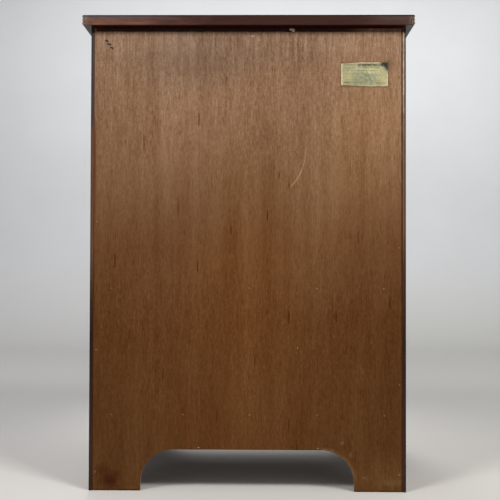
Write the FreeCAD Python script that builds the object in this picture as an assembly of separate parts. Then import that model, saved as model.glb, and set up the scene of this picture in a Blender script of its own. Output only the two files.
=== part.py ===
# Collector's cabinet: a small mahogany-veneered chest with seven shallow drawers
# divided for birds' eggs, on bracket feet, with a reeded top and a plywood back.
# Units are millimetres. +Z is up, the drawer fronts face -Y, +X is to the right
# of someone standing in front. The origin is the centre of the footprint of the
# whole piece, on the floor.
import FreeCAD, Part
import math
import os

V = FreeCAD.Vector
os.makedirs("parts", exist_ok=True)

# ---------------------------------------------------------------- driving sizes
HEIGHT = 762.0            # floor to top surface
TOP_W = 533.0             # width over the reeded edges
TOP_T = 16.0              # thickness of the top board
BODY_W = 507.0            # width over the side boards
BODY_D = 410.0            # depth from the front edges to the back edges
SIDE_T = 18.0
TOP_OVER_FRONT = 14.0
TOP_OVER_BACK = 10.0
REEDS = 3
REED_RELIEF = 1.6

KNOB_OUT = 25.0           # knob tip in front of the case front
Y_FRONT = -197.5          # plane of the case front
Y_BACK = Y_FRONT + BODY_D # plane of the back edges of the sides
X_OUT = BODY_W / 2
X_IN = X_OUT - SIDE_T
Z_TOP = HEIGHT - TOP_T    # underside of the top board

FOOT_W = 82.5             # width of each bracket foot
ARCH_H = 66.0
ARCH_R = 53.0

BOARD_T = 16.0
BOTTOM_Z = 111.5          # underside of the bottom board
MID_Z = 312.0             # underside of the middle board
HOUSING = 6.0             # depth of the housings in the sides
RAIL_T = 20.0             # height of the rails under the top
RAIL_D = 40.0
STUB = 8.0                # stub tenons of the rails

BACK_T = 5.5
REBATE_W = 13.0
REBATE_D = 6.0
BACK_BOTTOM = 0.6
BACK_TOP = Z_TOP - 3.0

GAP = 1.5                 # gap over and under each drawer front
SIDE_GAP = 1.2            # gap beside each drawer
FRONT_T = 18.0
BOX_T = 11.0
BOX_BACK_T = 10.0
BOX_LEN = 390.0           # drawer, front face to back
FRONT_LAP = 11.5          # length of the tails let into the front
BEAD_T = 3.0
BEAD_PROUD = 2.0
BEAD_D = 5.0
PLY_T = 4.0
GROOVE_IN = 5.0           # bottom groove depth in the drawer sides and front
RUN_H = 10.0              # hardwood runner, height
RUN_OUT = 7.0             # how far it stands off the case side
RUN_CLEAR_Z = 0.4
RUN_CLEAR_X = 1.0
PAD_T = 6.0               # wadding on the drawer bottom
PAD_WEB = 2.0
STRIP_T = 3.0             # divider strips
UPPER_HEIGHTS = [72.0, 75.0, 78.0, 80.5, 83.0]
LOWER_HEIGHTS = [88.0, 91.5]
CELLS = [(8, 6), (7, 6), (7, 5), (6, 5), (6, 4), (5, 4), (4, 3)]
STRIP_H = [26.0, 26.0, 28.0, 30.0, 30.0, 36.0, 38.0]


# ---------------------------------------------------------------------- helpers
def box(x0, x1, y0, y1, z0, z1):
    x0, x1 = sorted((x0, x1))
    y0, y1 = sorted((y0, y1))
    z0, z1 = sorted((z0, z1))
    return Part.makeBox(x1 - x0, y1 - y0, z1 - z0, V(x0, y0, z0))


def prism(points, vec):
    pts = [V(*p) for p in points]
    return Part.Face(Part.makePolygon(pts + [pts[0]])).extrude(V(*vec))


def cyl(r, length, at, direction):
    return Part.makeCylinder(r, length, V(*at), V(*direction))


def cut(shape, tools):
    tools = [t for t in tools if t is not None]
    if not tools:
        return shape
    out = shape.cut(tools)
    return out


def clean(shape):
    try:
        s = shape.removeSplitter()
        if s.isValid() and abs(s.Volume - shape.Volume) < 1e-3 * max(1.0, shape.Volume):
            shape = s
    except Exception:
        pass
    return shape


def one(shape):
    """The single solid in shape."""
    shape = clean(shape)
    solids = shape.Solids
    if len(solids) != 1:
        solids = sorted(solids, key=lambda s: -s.Volume)
        print("  note: %d solids where one was meant, volumes %s" % (len(solids), [round(s.Volume, 2) for s in solids[:4]]))
    return solids[0]


def save(name, *shapes):
    solids = []
    for s in shapes:
        solids += s.Solids
    bad = [s for s in solids if not s.isValid() or s.Volume <= 0]
    if bad:
        print("  BAD solid in", name, len(bad))
    out = solids[0] if len(solids) == 1 else Part.makeCompound(solids)
    out.exportStep("parts/%s.step" % name)


def arch_profile(c0, c1, z_low):
    """Closed wire in (u, z): the opening between two bracket feet, from u=c0 to u=c1."""
    k = ARCH_R * math.sqrt(0.5)
    zc = ARCH_H - ARCH_R
    return [
        ("L", (c0, z_low), (c0, zc)),
        ("A", (c0, zc), (c0 + ARCH_R - k, zc + k), (c0 + ARCH_R, ARCH_H)),
        ("L", (c0 + ARCH_R, ARCH_H), (c1 - ARCH_R, ARCH_H)),
        ("A", (c1 - ARCH_R, ARCH_H), (c1 - ARCH_R + k, zc + k), (c1, zc)),
        ("L", (c1, zc), (c1, z_low)),
        ("L", (c1, z_low), (c0, z_low)),
    ]


def arch_tool(c0, c1, place, vec):
    edges = []
    for seg in arch_profile(c0, c1, -5.0):
        pts = [V(*place(*p)) for p in seg[1:]]
        if seg[0] == "L":
            edges.append(Part.LineSegment(*pts).toShape())
        else:
            edges.append(Part.Arc(*pts).toShape())
    return Part.Face(Part.Wire(edges)).extrude(V(*vec))


# -------------------------------------------------------------- the reeded top
def reeded_edge(u_edge, sign, z0, z1):
    """Arc points down one reeded edge: from (u, z1) to (u, z0)."""
    step = (z1 - z0) / REEDS
    out = []
    for i in range(REEDS):
        za = z1 - i * step
        zb = za - step
        out.append(((u_edge - sign * REED_RELIEF, za), (u_edge, (za + zb) / 2), (u_edge - sign * REED_RELIEF, zb)))
    return out


def make_top():
    z0, z1 = Z_TOP, HEIGHT
    hx = TOP_W / 2
    yf = Y_FRONT - TOP_OVER_FRONT
    yb = Y_BACK + TOP_OVER_BACK
    edges = []
    right = reeded_edge(hx, 1, z0, z1)
    left = [tuple(reversed(a)) for a in reversed(reeded_edge(-hx, -1, z0, z1))]
    at = lambda p: V(p[0], yf - 20, p[1])
    for a in right:
        edges.append(Part.Arc(at(a[0]), at(a[1]), at(a[2])).toShape())
    edges.append(Part.LineSegment(at(right[-1][2]), at(left[0][0])).toShape())
    for a in left:
        edges.append(Part.Arc(at(a[0]), at(a[1]), at(a[2])).toShape())
    edges.append(Part.LineSegment(at(left[-1][2]), at(right[0][0])).toShape())
    across = Part.Face(Part.Wire(edges)).extrude(V(0, yb - yf + 20, 0))
    front = [tuple(reversed(a)) for a in reversed(reeded_edge(yf, -1, z0, z1))]
    aty = lambda p: V(-hx - 20, p[0], p[1])
    edges = [Part.LineSegment(aty((yb, z1)), aty((yb, z0))).toShape(),
             Part.LineSegment(aty((yb, z0)), aty(front[0][0])).toShape()]
    for a in front:
        edges.append(Part.Arc(aty(a[0]), aty(a[1]), aty(a[2])).toShape())
    edges.append(Part.LineSegment(aty(front[-1][2]), aty((yb, z1))).toShape())
    along = Part.Face(Part.Wire(edges)).extrude(V(TOP_W + 40, 0, 0))
    return across.common(along)


# ------------------------------------------------------- drawer heights and rows
Z_MID_TOP = MID_Z + BOARD_T
Z_BOTTOM_TOP = BOTTOM_Z + BOARD_T
Z_UPPER_TOP = Z_TOP - RAIL_T


def stack(heights, z_low, z_high):
    """Fronts from the top down, sharing the opening with equal gaps."""
    gap = (z_high - z_low - sum(heights)) / (len(heights) + 1)
    z = z_high
    rows = []
    for h in heights:
        z -= gap + h
        rows.append((z, h))
    print("  gap between fronts %.2f" % gap)
    return rows


ROWS = stack(UPPER_HEIGHTS, Z_MID_TOP, Z_UPPER_TOP) + stack(LOWER_HEIGHTS, Z_BOTTOM_TOP, MID_Z)
X_BOX = X_IN - SIDE_GAP
Y_REAR = Y_FRONT + BOX_LEN
Y_RUN0 = Y_FRONT + 22.0
Y_RUN1 = Y_BACK - REBATE_D - 2.5


def runner_z(row):
    z, h = row
    return z + h / 2 + 2.0


# ------------------------------------------------------------- nails and screws
ROW_PINS_X = [218.0, 102.5, -4.0, -112.0, -219.0]
PIN_R = 0.75
PIN_HEAD_R = 1.35
PIN_HEAD_T = 0.7
PIN_L = 18.0
PIN_SPOTS = []            # (x, z)
for x in ROW_PINS_X:
    PIN_SPOTS.append((x, BOTTOM_Z + BOARD_T / 2 + 2.3))
    PIN_SPOTS.append((x + 0.8, MID_Z + BOARD_T / 2 + 4.4))
for x in (205.0, 88.0, -69.5, -150.0, -215.0):
    PIN_SPOTS.append((x, Z_TOP - RAIL_T / 2 - 1.5))
for z in (30.0, 225.0, 431.0, 512.0, 595.5, 690.0):
    PIN_SPOTS.append((X_OUT - 10.6, z))
for z in (28.0, 171.0, 291.0, 390.0, 480.0, 572.0, 664.0):
    PIN_SPOTS.append((-X_OUT + 10.6, z))
Y_PANEL = Y_BACK - REBATE_D + BACK_T   # outer face of the back panel


def pin_solid(x, z, grow=0.0):
    head = cyl(PIN_HEAD_R + grow, PIN_HEAD_T, (x, Y_PANEL - PIN_HEAD_T - 0.15, z), (0, 1, 0))
    shank = cyl(PIN_R + grow, PIN_L + grow, (x, Y_PANEL - PIN_HEAD_T - 0.15 - PIN_L - grow, z), (0, 1, 0))
    if grow:
        head = cyl(PIN_HEAD_R + grow, PIN_HEAD_T + 2, (x, Y_PANEL - PIN_HEAD_T - 0.15, z), (0, 1, 0))
    return head.fuse(shank)


PIN_HOLES = [pin_solid(x, z, 0.05) for x, z in PIN_SPOTS]

SCREW_R = 1.75
SCREW_HEAD_R = 3.4
RUN_SCREW_Y = (-150.0, 170.0)


def runner_screw(side, y, z, grow=0.0):
    """Countersunk screw from the runner's face into the case side."""
    xf = X_IN - RUN_OUT
    c = Part.makeCone(SCREW_HEAD_R + grow, SCREW_R + grow, 2.0, V(side * xf, y, z), V(side, 0, 0))
    s = cyl(SCREW_R + grow, 16.0 + grow, (side * xf, y, z), (side, 0, 0))
    out = c.fuse(s)
    if not grow:
        slot = box(side * (xf - 0.1), side * (xf + 0.7), y - 3.0, y + 3.0, z - 0.35, z + 0.35)
        out = out.cut(slot)
    return out


TOP_SCREWS = [(x, y) for y in (Y_FRONT + 22.0, Y_BACK - REBATE_D - 22.0) for x in (-170.0, 0.0, 170.0)]


def top_screw(x, y, grow=0.0):
    z = Z_TOP - RAIL_T
    c = Part.makeCone(4.2 + grow, 2.2 + grow, 2.4, V(x, y, z), V(0, 0, 1))
    s = cyl(2.2 + grow, 30.0 + grow, (x, y, z), (0, 0, 1))
    out = c.fuse(s)
    if not grow:
        out = out.cut(box(x - 3.6, x + 3.6, y - 0.45, y + 0.45, z - 0.1, z + 0.9))
    return out


# ------------------------------------------------------------------ case pieces
print("case")
top = make_top()
top = cut(top, [top_screw(x, y, 0.05) for x, y in TOP_SCREWS])
save("top_board", one(top))


def housing(z, side):
    """Stopped housing for a board, 20 mm short of the front edge."""
    return box(side * (X_IN - 1), side * (X_IN + HOUSING), Y_FRONT + 20.0, Y_BACK - REBATE_D, z, z + BOARD_T)


def stub(side, y0, y1):
    return box(side * (X_IN - 1), side * (X_IN + STUB), y0, y1, Z_TOP - RAIL_T + 3.0, Z_TOP + 1)


RAIL_FRONT = (Y_FRONT, Y_FRONT + RAIL_D)
RAIL_BACK = (Y_BACK - REBATE_D - RAIL_D, Y_BACK - REBATE_D)
STUB_FRONT = (Y_FRONT + 8.0, Y_FRONT + RAIL_D - 4.0)
STUB_BACK = (Y_BACK - REBATE_D - RAIL_D + 4.0, Y_BACK - REBATE_D - 4.0)


def make_side(side):
    s = box(side * X_IN, side * X_OUT, Y_FRONT, Y_BACK, 0, Z_TOP)
    tools = [
        box(side * (X_IN - 1), side * (X_IN + REBATE_W), Y_BACK - REBATE_D, Y_BACK + 1, -1, Z_TOP + 1),
        housing(BOTTOM_Z, side), housing(MID_Z, side),
        stub(side, *STUB_FRONT), stub(side, *STUB_BACK),
        arch_tool(Y_FRONT + FOOT_W, Y_BACK - FOOT_W, lambda u, z: (side * (X_IN - 2), u, z), (side * (SIDE_T + 4), 0, 0)),
    ]
    for row in ROWS:
        for y in RUN_SCREW_Y:
            tools.append(runner_screw(side, y, runner_z(row), 0.05))
    # the runner screws' cones stay in the runners
    s = cut(s, tools[:6])
    s = cut(s, tools[6:])
    s = cut(s, [h for h, (x, z) in zip(PIN_HOLES, PIN_SPOTS) if x * side > X_IN - 2])
    return one(s)


side_r, side_l = make_side(1), make_side(-1)
save("side_right", side_r)
save("side_left", side_l)


def board_holes(z0, z1):
    return [h for h, (x, z) in zip(PIN_HOLES, PIN_SPOTS) if z0 < z < z1 and abs(x) < X_IN - 2]


bottom = box(-X_IN - HOUSING, X_IN + HOUSING, Y_FRONT + 20.0, Y_BACK - REBATE_D, BOTTOM_Z, Z_BOTTOM_TOP)
bottom = cut(bottom, board_holes(BOTTOM_Z, Z_BOTTOM_TOP))
save("bottom_board", one(bottom))
mid = box(-X_IN - HOUSING, X_IN + HOUSING, Y_FRONT + 20.0, Y_BACK - REBATE_D, MID_Z, Z_MID_TOP)
# tongue that holds the rail on the front edge
mid = mid.fuse(box(-X_IN + 12, X_IN - 12, Y_FRONT + 14.0, Y_FRONT + 20.0, MID_Z + 5, MID_Z + 11))
mid = cut(mid, board_holes(MID_Z, Z_MID_TOP))
save("mid_board", one(mid))
rail = box(-X_IN, X_IN, Y_FRONT, Y_FRONT + 20.0, MID_Z, Z_MID_TOP)
rail = rail.cut(box(-X_IN + 12, X_IN - 12, Y_FRONT + 14.0, Y_FRONT + 21.0, MID_Z + 5, MID_Z + 11))
save("mid_rail", one(rail))


def top_rail(y0, y1, stub_y):
    r = box(-X_IN, X_IN, y0, y1, Z_TOP - RAIL_T, Z_TOP)
    for side in (-1, 1):
        r = r.fuse(box(side * (X_IN - 1), side * (X_IN + STUB), stub_y[0], stub_y[1], Z_TOP - RAIL_T + 3.0, Z_TOP))
    tools = [top_screw(x, y, 0.05) for x, y in TOP_SCREWS if y0 < y < y1]
    if y1 > 0:
        tools += board_holes(Z_TOP - RAIL_T, Z_TOP)
    return one(cut(r, tools))


save("top_rail_front", top_rail(*RAIL_FRONT, STUB_FRONT))
save("top_rail_back", top_rail(*RAIL_BACK, STUB_BACK))

apron = box(-X_IN, X_IN, Y_FRONT, Y_FRONT + 18.0, 0, Z_BOTTOM_TOP)
# the apron laps the bottom board's front edge, with a lip that the board sits behind
apron = apron.fuse(box(-X_IN, X_IN, Y_FRONT + 18.0, Y_FRONT + 20.0, BOTTOM_Z, Z_BOTTOM_TOP))
apron = apron.cut(arch_tool(-X_OUT + FOOT_W, X_OUT - FOOT_W, lambda u, z: (u, Y_FRONT - 2, z), (0, 24, 0)))
save("front_apron", one(apron))

panel_x = X_IN + REBATE_W - 0.2
panel = box(-panel_x, panel_x, Y_BACK - REBATE_D, Y_PANEL, BACK_BOTTOM, BACK_TOP)
panel = panel.cut(arch_tool(-X_OUT + FOOT_W, X_OUT - FOOT_W, lambda u, z: (u, Y_BACK - 12, z), (0, 24, 0)))
panel = cut(panel, PIN_HOLES)
save("back_panel", one(panel))

# bearers behind the feet and glue blocks along the apron
blocks = []
for side in (-1, 1):
    x0, x1 = side * X_IN, side * (X_IN - 26.0)
    blocks.append(box(x0, x1, Y_FRONT + 18.0, Y_FRONT + 44.0, 3.0, BOTTOM_Z))
    blocks.append(box(x0, x1, Y_BACK - REBATE_D - 26.0, Y_BACK - REBATE_D, 3.0, BOTTOM_Z))
foot_blocks = []
for b in blocks:
    bb = b.BoundBox
    # the free inner corner is cut back
    sx = 1 if bb.XMin > 0 else -1
    sy = 1 if bb.YMin > 0 else -1
    cx, cy = sx * (X_IN - 26.0), (bb.YMin if sy > 0 else bb.YMax)
    tri = prism([(cx - sx * 1, cy - sy * 1, 2), (cx + sx * 14, cy - sy * 1, 2), (cx - sx * 1, cy + sy * 14, 2)], (0, 0, BOTTOM_Z))
    b = b.cut(tri)
    b = cut(b, [h for h, (x, z) in zip(PIN_HOLES, PIN_SPOTS) if z < BOTTOM_Z and x * sx > 0 and sy > 0 and abs(x) < X_IN])
    foot_blocks.append(one(b))
save("foot_blocks", *foot_blocks)
glue = []
for x in (-105.0, 0.0, 105.0):
    for yy, sg in ((Y_FRONT + 18.0, 1), (Y_BACK - REBATE_D, -1)):
        glue.append(prism([(x - 35, yy, BOTTOM_Z), (x - 35, yy + sg * 18, BOTTOM_Z), (x - 35, yy + sg * 18, BOTTOM_Z - 5),
                           (x - 35, yy + sg * 5, BOTTOM_Z - 18), (x - 35, yy, BOTTOM_Z - 18)], (70, 0, 0)))
save("glue_blocks", *glue)

for side, name in ((1, "runners_right"), (-1, "runners_left")):
    out = []
    for row in ROWS:
        zc = runner_z(row)
        r = box(side * (X_IN - RUN_OUT), side * X_IN, Y_RUN0, Y_RUN1, zc - RUN_H / 2, zc + RUN_H / 2)
        r = cut(r, [runner_screw(side, y, zc, 0.05) for y in RUN_SCREW_Y])
        out.append(one(r))
    save(name, *out)

save("back_panel_pins", *[one(pin_solid(x, z)) for x, z in PIN_SPOTS])
save("runner_screws", *[one(runner_screw(side, y, runner_z(row))) for side in (-1, 1) for row in ROWS for y in RUN_SCREW_Y])
save("top_screws", *[one(top_screw(x, y)) for x, y in TOP_SCREWS])

# small paper label glued to the back panel
LABEL = (-224.9, -150.2, 648.7, 688.0)
save("paper_label", box(LABEL[0], LABEL[1], Y_PANEL, Y_PANEL + 0.25, LABEL[2], LABEL[3]))


# ---------------------------------------------------------------------- drawers
def tails(side, y_shoulder, direction, length, zs0, hs, n, x_in, x_out):
    """Dovetail tails on the end of a drawer side, in the plane of the side."""
    pitch = hs / n
    out = []
    for i in range(n):
        zc = zs0 + pitch * (i + 0.5)
        w2 = (pitch - 5.0) / 2
        w1 = w2 - length / 6.0
        pts = [(x_in, y_shoulder, zc - w1), (x_in, y_shoulder, zc + w1),
               (x_in, y_shoulder + direction * length, zc + w2), (x_in, y_shoulder + direction * length, zc - w2)]
        out.append(prism(pts, (x_out - x_in, 0, 0)))
    return out


def make_beads(z0, z1):
    """Four mitred cock beads with rounded noses."""
    x = X_BOX
    t = BEAD_T
    y0, y1 = Y_FRONT - BEAD_PROUD, Y_FRONT + BEAD_D
    r = t / 2

    def bar(p, q, u):
        """Bar of bead section from p to q. u is the inward direction of its thickness."""
        p, q, u = V(*p), V(*q), V(*u)
        a = p
        c = p + u * t
        yv = V(0, 1, 0)
        pts = [a + yv * (y1 - y0), a + yv * r, a + u * (t / 2), c + yv * r, c + yv * (y1 - y0)]
        wire = Part.Wire([Part.LineSegment(pts[0], pts[1]).toShape(), Part.Arc(pts[1], pts[2], pts[3]).toShape(),
                          Part.LineSegment(pts[3], pts[4]).toShape(), Part.LineSegment(pts[4], pts[0]).toShape()])
        return Part.Face(wire).extrude(q - p)

    def mitre(pts):
        return prism([(a, y0 - 1, b) for a, b in pts], (0, y1 - y0 + 2, 0))

    top_b = bar((-x, y0, z1), (x, y0, z1), (0, 0, -1)).common(mitre([(-x, z1), (x, z1), (x - t, z1 - t), (-x + t, z1 - t)]))
    low_b = bar((-x, y0, z0), (x, y0, z0), (0, 0, 1)).common(mitre([(-x, z0), (x, z0), (x - t, z0 + t), (-x + t, z0 + t)]))
    r_b = bar((x, y0, z0), (x, y0, z1), (-1, 0, 0)).common(mitre([(x, z0), (x, z1), (x - t, z1 - t), (x - t, z0 + t)]))
    l_b = bar((-x, y0, z0), (-x, y0, z1), (1, 0, 0)).common(mitre([(-x, z0), (-x, z1), (-x + t, z1 - t), (-x + t, z0 + t)]))
    return [one(b) for b in (top_b, low_b, r_b, l_b)]


KNOB_X = 125.0
STUD_R = 2.0


def make_knob(x, z):
    """Turned brass knob with its base and threaded stud in one, pointing to -Y."""
    yf = Y_FRONT
    prof = [(0, 0), (9.6, 0), (10.0, -0.5), (10.0, -1.3), (8.6, -1.9), (7.2, -2.3), (5.0, -3.6), (4.1, -5.5), (3.9, -8.5), (4.3, -11.0),
            (5.2, -12.6)]
    pts = [V(r, yf + y, 0) for r, y in prof]
    # straight turned part first
    edges = [Part.LineSegment(V(0, yf + 20.5, 0), V(STUD_R, yf + 20.5, 0)).toShape(),
             Part.LineSegment(V(STUD_R, yf + 20.5, 0), V(STUD_R, yf, 0)).toShape(),
             Part.LineSegment(V(STUD_R, yf, 0), pts[1]).toShape()]
    for a, b in zip(pts[1:4], pts[2:5]):
        edges.append(Part.LineSegment(a, b).toShape())
    spl = Part.BSplineCurve()
    spl.interpolate([pts[4], pts[5], pts[6], pts[7], pts[8], pts[9], pts[10]])
    edges.append(spl.toShape())
    # from the neck over the head to the tip
    neck = pts[10]
    widest = V(9.2, yf - 18.2, 0)
    tip = V(0, yf - KNOB_OUT, 0)
    shoulder = V(7.9, yf - 14.4, 0)
    crown = V(6.6, yf - 23.0, 0)
    spl2 = Part.BSplineCurve()
    spl2.interpolate([neck, shoulder, widest, crown, tip], InitialTangent=V(1.0, -0.5, 0), FinalTangent=V(-1, 0, 0))
    edges.append(spl2.toShape())
    edges.append(Part.LineSegment(tip, V(0, yf + 20.5, 0)).toShape())
    face = Part.Face(Part.Wire(edges))
    solid = face.revolve(V(0, 0, 0), V(0, 1, 0), 360)
    if solid.Volume < 0:
        solid.reverse()
    solid.translate(V(x, 0, z))
    return solid


def make_nut(x, z):
    y0 = Y_FRONT + FRONT_T
    washer_r = 5.0
    pts = [(x + 4.0 * math.cos(math.radians(60 * k + 30)), y0, z + 4.0 * math.sin(math.radians(60 * k + 30))) for k in range(6)]
    nut = prism(pts, (0, 2.4, 0)).fuse(cyl(washer_r, 0.5, (x, y0, z), (0, 1, 0)))
    return one(nut.cut(cyl(STUD_R + 0.05, 6, (x, y0 - 1, z), (0, 1, 0))))


for index, row in enumerate(ROWS):
    n = index + 1
    z0, h = row
    z1 = z0 + h
    print("drawer", n, "front from z %.1f to %.1f" % (z0, z1))
    zs0, zs1 = z0 + 4.0, z1 - 6.0
    hs = zs1 - zs0
    zr = runner_z(row)
    zb0 = z0 + 10.0            # underside of the ply bottom
    zb1 = zb0 + PLY_T
    n_tails = 3 if hs < 76 else 4
    y_in = Y_FRONT + FRONT_T
    xi = X_BOX - BOX_T

    front_tails, rear_tails = [], []
    for side in (-1, 1):
        front_tails.append(tails(side, y_in, -1, FRONT_LAP, zs0, hs, n_tails, side * xi, side * X_BOX))
        rear_tails.append(tails(side, Y_REAR - BOX_BACK_T, 1, BOX_BACK_T, zs0, hs, n_tails, side * xi, side * X_BOX))

    # front board, rebated for the beads, with the sockets and the bottom groove
    front = box(-X_BOX, X_BOX, Y_FRONT + BEAD_D, y_in, z0, z1)
    front = front.fuse(box(-X_BOX + BEAD_T, X_BOX - BEAD_T, Y_FRONT, Y_FRONT + BEAD_D + 0.01, z0 + BEAD_T, z1 - BEAD_T))
    front = cut(front, front_tails[0] + front_tails[1])
    front = front.cut(box(-xi - GROOVE_IN, xi + GROOVE_IN, y_in - GROOVE_IN, y_in + 1, zb0, zb1))
    for kx in (-KNOB_X, KNOB_X):
        front = front.cut(cyl(STUD_R + 0.1, 40, (kx, Y_FRONT - 5, z0 + h / 2), (0, 1, 0)))
    save("drawer_%d_front" % n, one(front), *make_beads(z0, z1))

    # sides and back
    parts = []
    for k, side in enumerate((-1, 1)):
        s = box(side * xi, side * X_BOX, y_in, Y_REAR - BOX_BACK_T, zs0, zs1)
        s = s.fuse(front_tails[k] + rear_tails[k])
        groove = box(side * (X_IN - RUN_OUT - RUN_CLEAR_X), side * (X_BOX + 1), Y_RUN0 - 0.5, Y_REAR + 1,
                     zr - RUN_H / 2 - RUN_CLEAR_Z, zr + RUN_H / 2 + RUN_CLEAR_Z)
        low = box(side * (xi - 1), side * (xi + GROOVE_IN), y_in - FRONT_LAP - 1, Y_REAR + 1, zb0, zb1)
        s = cut(s, [groove, low])
        parts.append(one(s))
    back = box(-X_BOX, X_BOX, Y_REAR - BOX_BACK_T, Y_REAR, zb1, zs1 - 4.0)
    back = cut(back, rear_tails[0] + rear_tails[1])
    for side in (-1, 1):
        back = back.cut(box(side * (X_IN - RUN_OUT - RUN_CLEAR_X), side * (X_BOX + 1), Y_REAR - BOX_BACK_T - 1, Y_REAR + 1,
                            zr - RUN_H / 2 - RUN_CLEAR_Z, zr + RUN_H / 2 + RUN_CLEAR_Z))
    bs = clean(back).Solids
    bs = sorted(bs, key=lambda s: -s.Volume)
    parts.append(bs[0])
    save("drawer_%d_box" % n, *parts)

    # ply bottom
    bot = box(-xi - GROOVE_IN, xi + GROOVE_IN, y_in - GROOVE_IN, Y_REAR, zb0, zb1)
    save("drawer_%d_bottom" % n, bot)

    # divider strips, halved together where they cross
    nx, ny = CELLS[index]
    ix, iy0, iy1 = xi - 0.3, y_in + 0.3, Y_REAR - BOX_BACK_T - 0.3
    zd0 = zb1 + PAD_WEB
    zd1 = zd0 + STRIP_H[index]
    xs = [-xi + (2 * xi) * (i + 1) / nx for i in range(nx - 1)]
    ys = [y_in + (Y_REAR - BOX_BACK_T - y_in) * (j + 1) / ny for j in range(ny - 1)]
    zm = (zd0 + zd1) / 2
    hs2 = STRIP_T / 2
    strips = []
    for y in ys:       # long strips, slotted from above
        s = box(-ix, ix, y - hs2, y + hs2, zd0, zd1)
        s = cut(s, [box(x - hs2 - 0.05, x + hs2 + 0.05, y - 5, y + 5, zm, zd1 + 1) for x in xs])
        strips.append(one(s))
    for x in xs:       # short strips, slotted from below
        s = box(x - hs2, x + hs2, iy0, iy1, zd0, zd1)
        s = cut(s, [box(x - 5, x + 5, y - hs2 - 0.05, y + hs2 + 0.05, zd0 - 1, zm) for y in ys])
        strips.append(one(s))
    save("drawer_%d_dividers" % n, *strips)

    # wadding on the bottom, pressed down to a web under the strips
    pad = box(-xi + 0.3, xi - 0.3, y_in + 0.3, Y_REAR - BOX_BACK_T - 0.3, zb1, zb1 + PAD_T)
    pad = cut(pad, [box(-xi, xi, y - hs2 - 0.1, y + hs2 + 0.1, zd0, zb1 + PAD_T + 1) for y in ys])
    pad = cut(pad, [box(x - hs2 - 0.1, x + hs2 + 0.1, y_in - 1, Y_REAR, zd0, zb1 + PAD_T + 1) for x in xs])
    save("drawer_%d_wadding" % n, one(pad))

    knobs = []
    for kx in (-KNOB_X, KNOB_X):
        knobs += [make_knob(kx, z0 + h / 2), make_nut(kx, z0 + h / 2)]
    save("drawer_%d_knobs" % n, *knobs)

print("nodes:", len([f for f in os.listdir("parts") if f.endswith(".step")]))
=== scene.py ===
import math
import random

import bpy
import bmesh
import numpy as np
from mathutils import Matrix, Vector, noise as mnoise


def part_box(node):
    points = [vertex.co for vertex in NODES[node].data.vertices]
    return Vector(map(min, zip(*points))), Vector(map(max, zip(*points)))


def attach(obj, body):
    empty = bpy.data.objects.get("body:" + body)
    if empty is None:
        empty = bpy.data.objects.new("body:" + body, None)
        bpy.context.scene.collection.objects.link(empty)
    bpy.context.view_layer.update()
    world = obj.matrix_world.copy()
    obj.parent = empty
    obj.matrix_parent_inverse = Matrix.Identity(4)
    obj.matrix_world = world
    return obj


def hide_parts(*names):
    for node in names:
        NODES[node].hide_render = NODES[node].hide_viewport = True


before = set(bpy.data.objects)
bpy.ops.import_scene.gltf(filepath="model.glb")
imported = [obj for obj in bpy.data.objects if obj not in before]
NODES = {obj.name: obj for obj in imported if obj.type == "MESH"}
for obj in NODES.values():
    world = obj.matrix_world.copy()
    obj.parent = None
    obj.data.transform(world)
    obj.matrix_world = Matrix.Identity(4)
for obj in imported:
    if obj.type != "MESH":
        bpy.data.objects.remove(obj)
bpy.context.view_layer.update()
SCENE = bpy.context.scene

# ------------------------------------------------------------------ dimensions (metres)
X_OUT, X_IN = 0.2535, 0.2355
Y_FRONT, Y_BACK, Y_PANEL = -0.1975, 0.2125, 0.2120
Z_TOP, HEIGHT = 0.746, 0.762
X_BOX = 0.2343
XI = X_BOX - 0.011
Y_IN = Y_FRONT + 0.018
Y_REAR_IN = Y_FRONT + 0.390 - 0.010
STRIP_T = 0.003
CELLS = [(8, 6), (7, 6), (7, 5), (6, 5), (6, 4), (5, 4), (4, 3)]
ARCH_C, ARCH_R, ARCH_ZC = 0.118, 0.053, 0.013


def rgb(r, g, b):
    """Linear colour of an sRGB triple from 0 to 255."""
    out = []
    for v in (r, g, b):
        v /= 255.0
        out.append(v / 12.92 if v <= 0.04045 else ((v + 0.055) / 1.055) ** 2.4)
    return (*out, 1.0)


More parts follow.
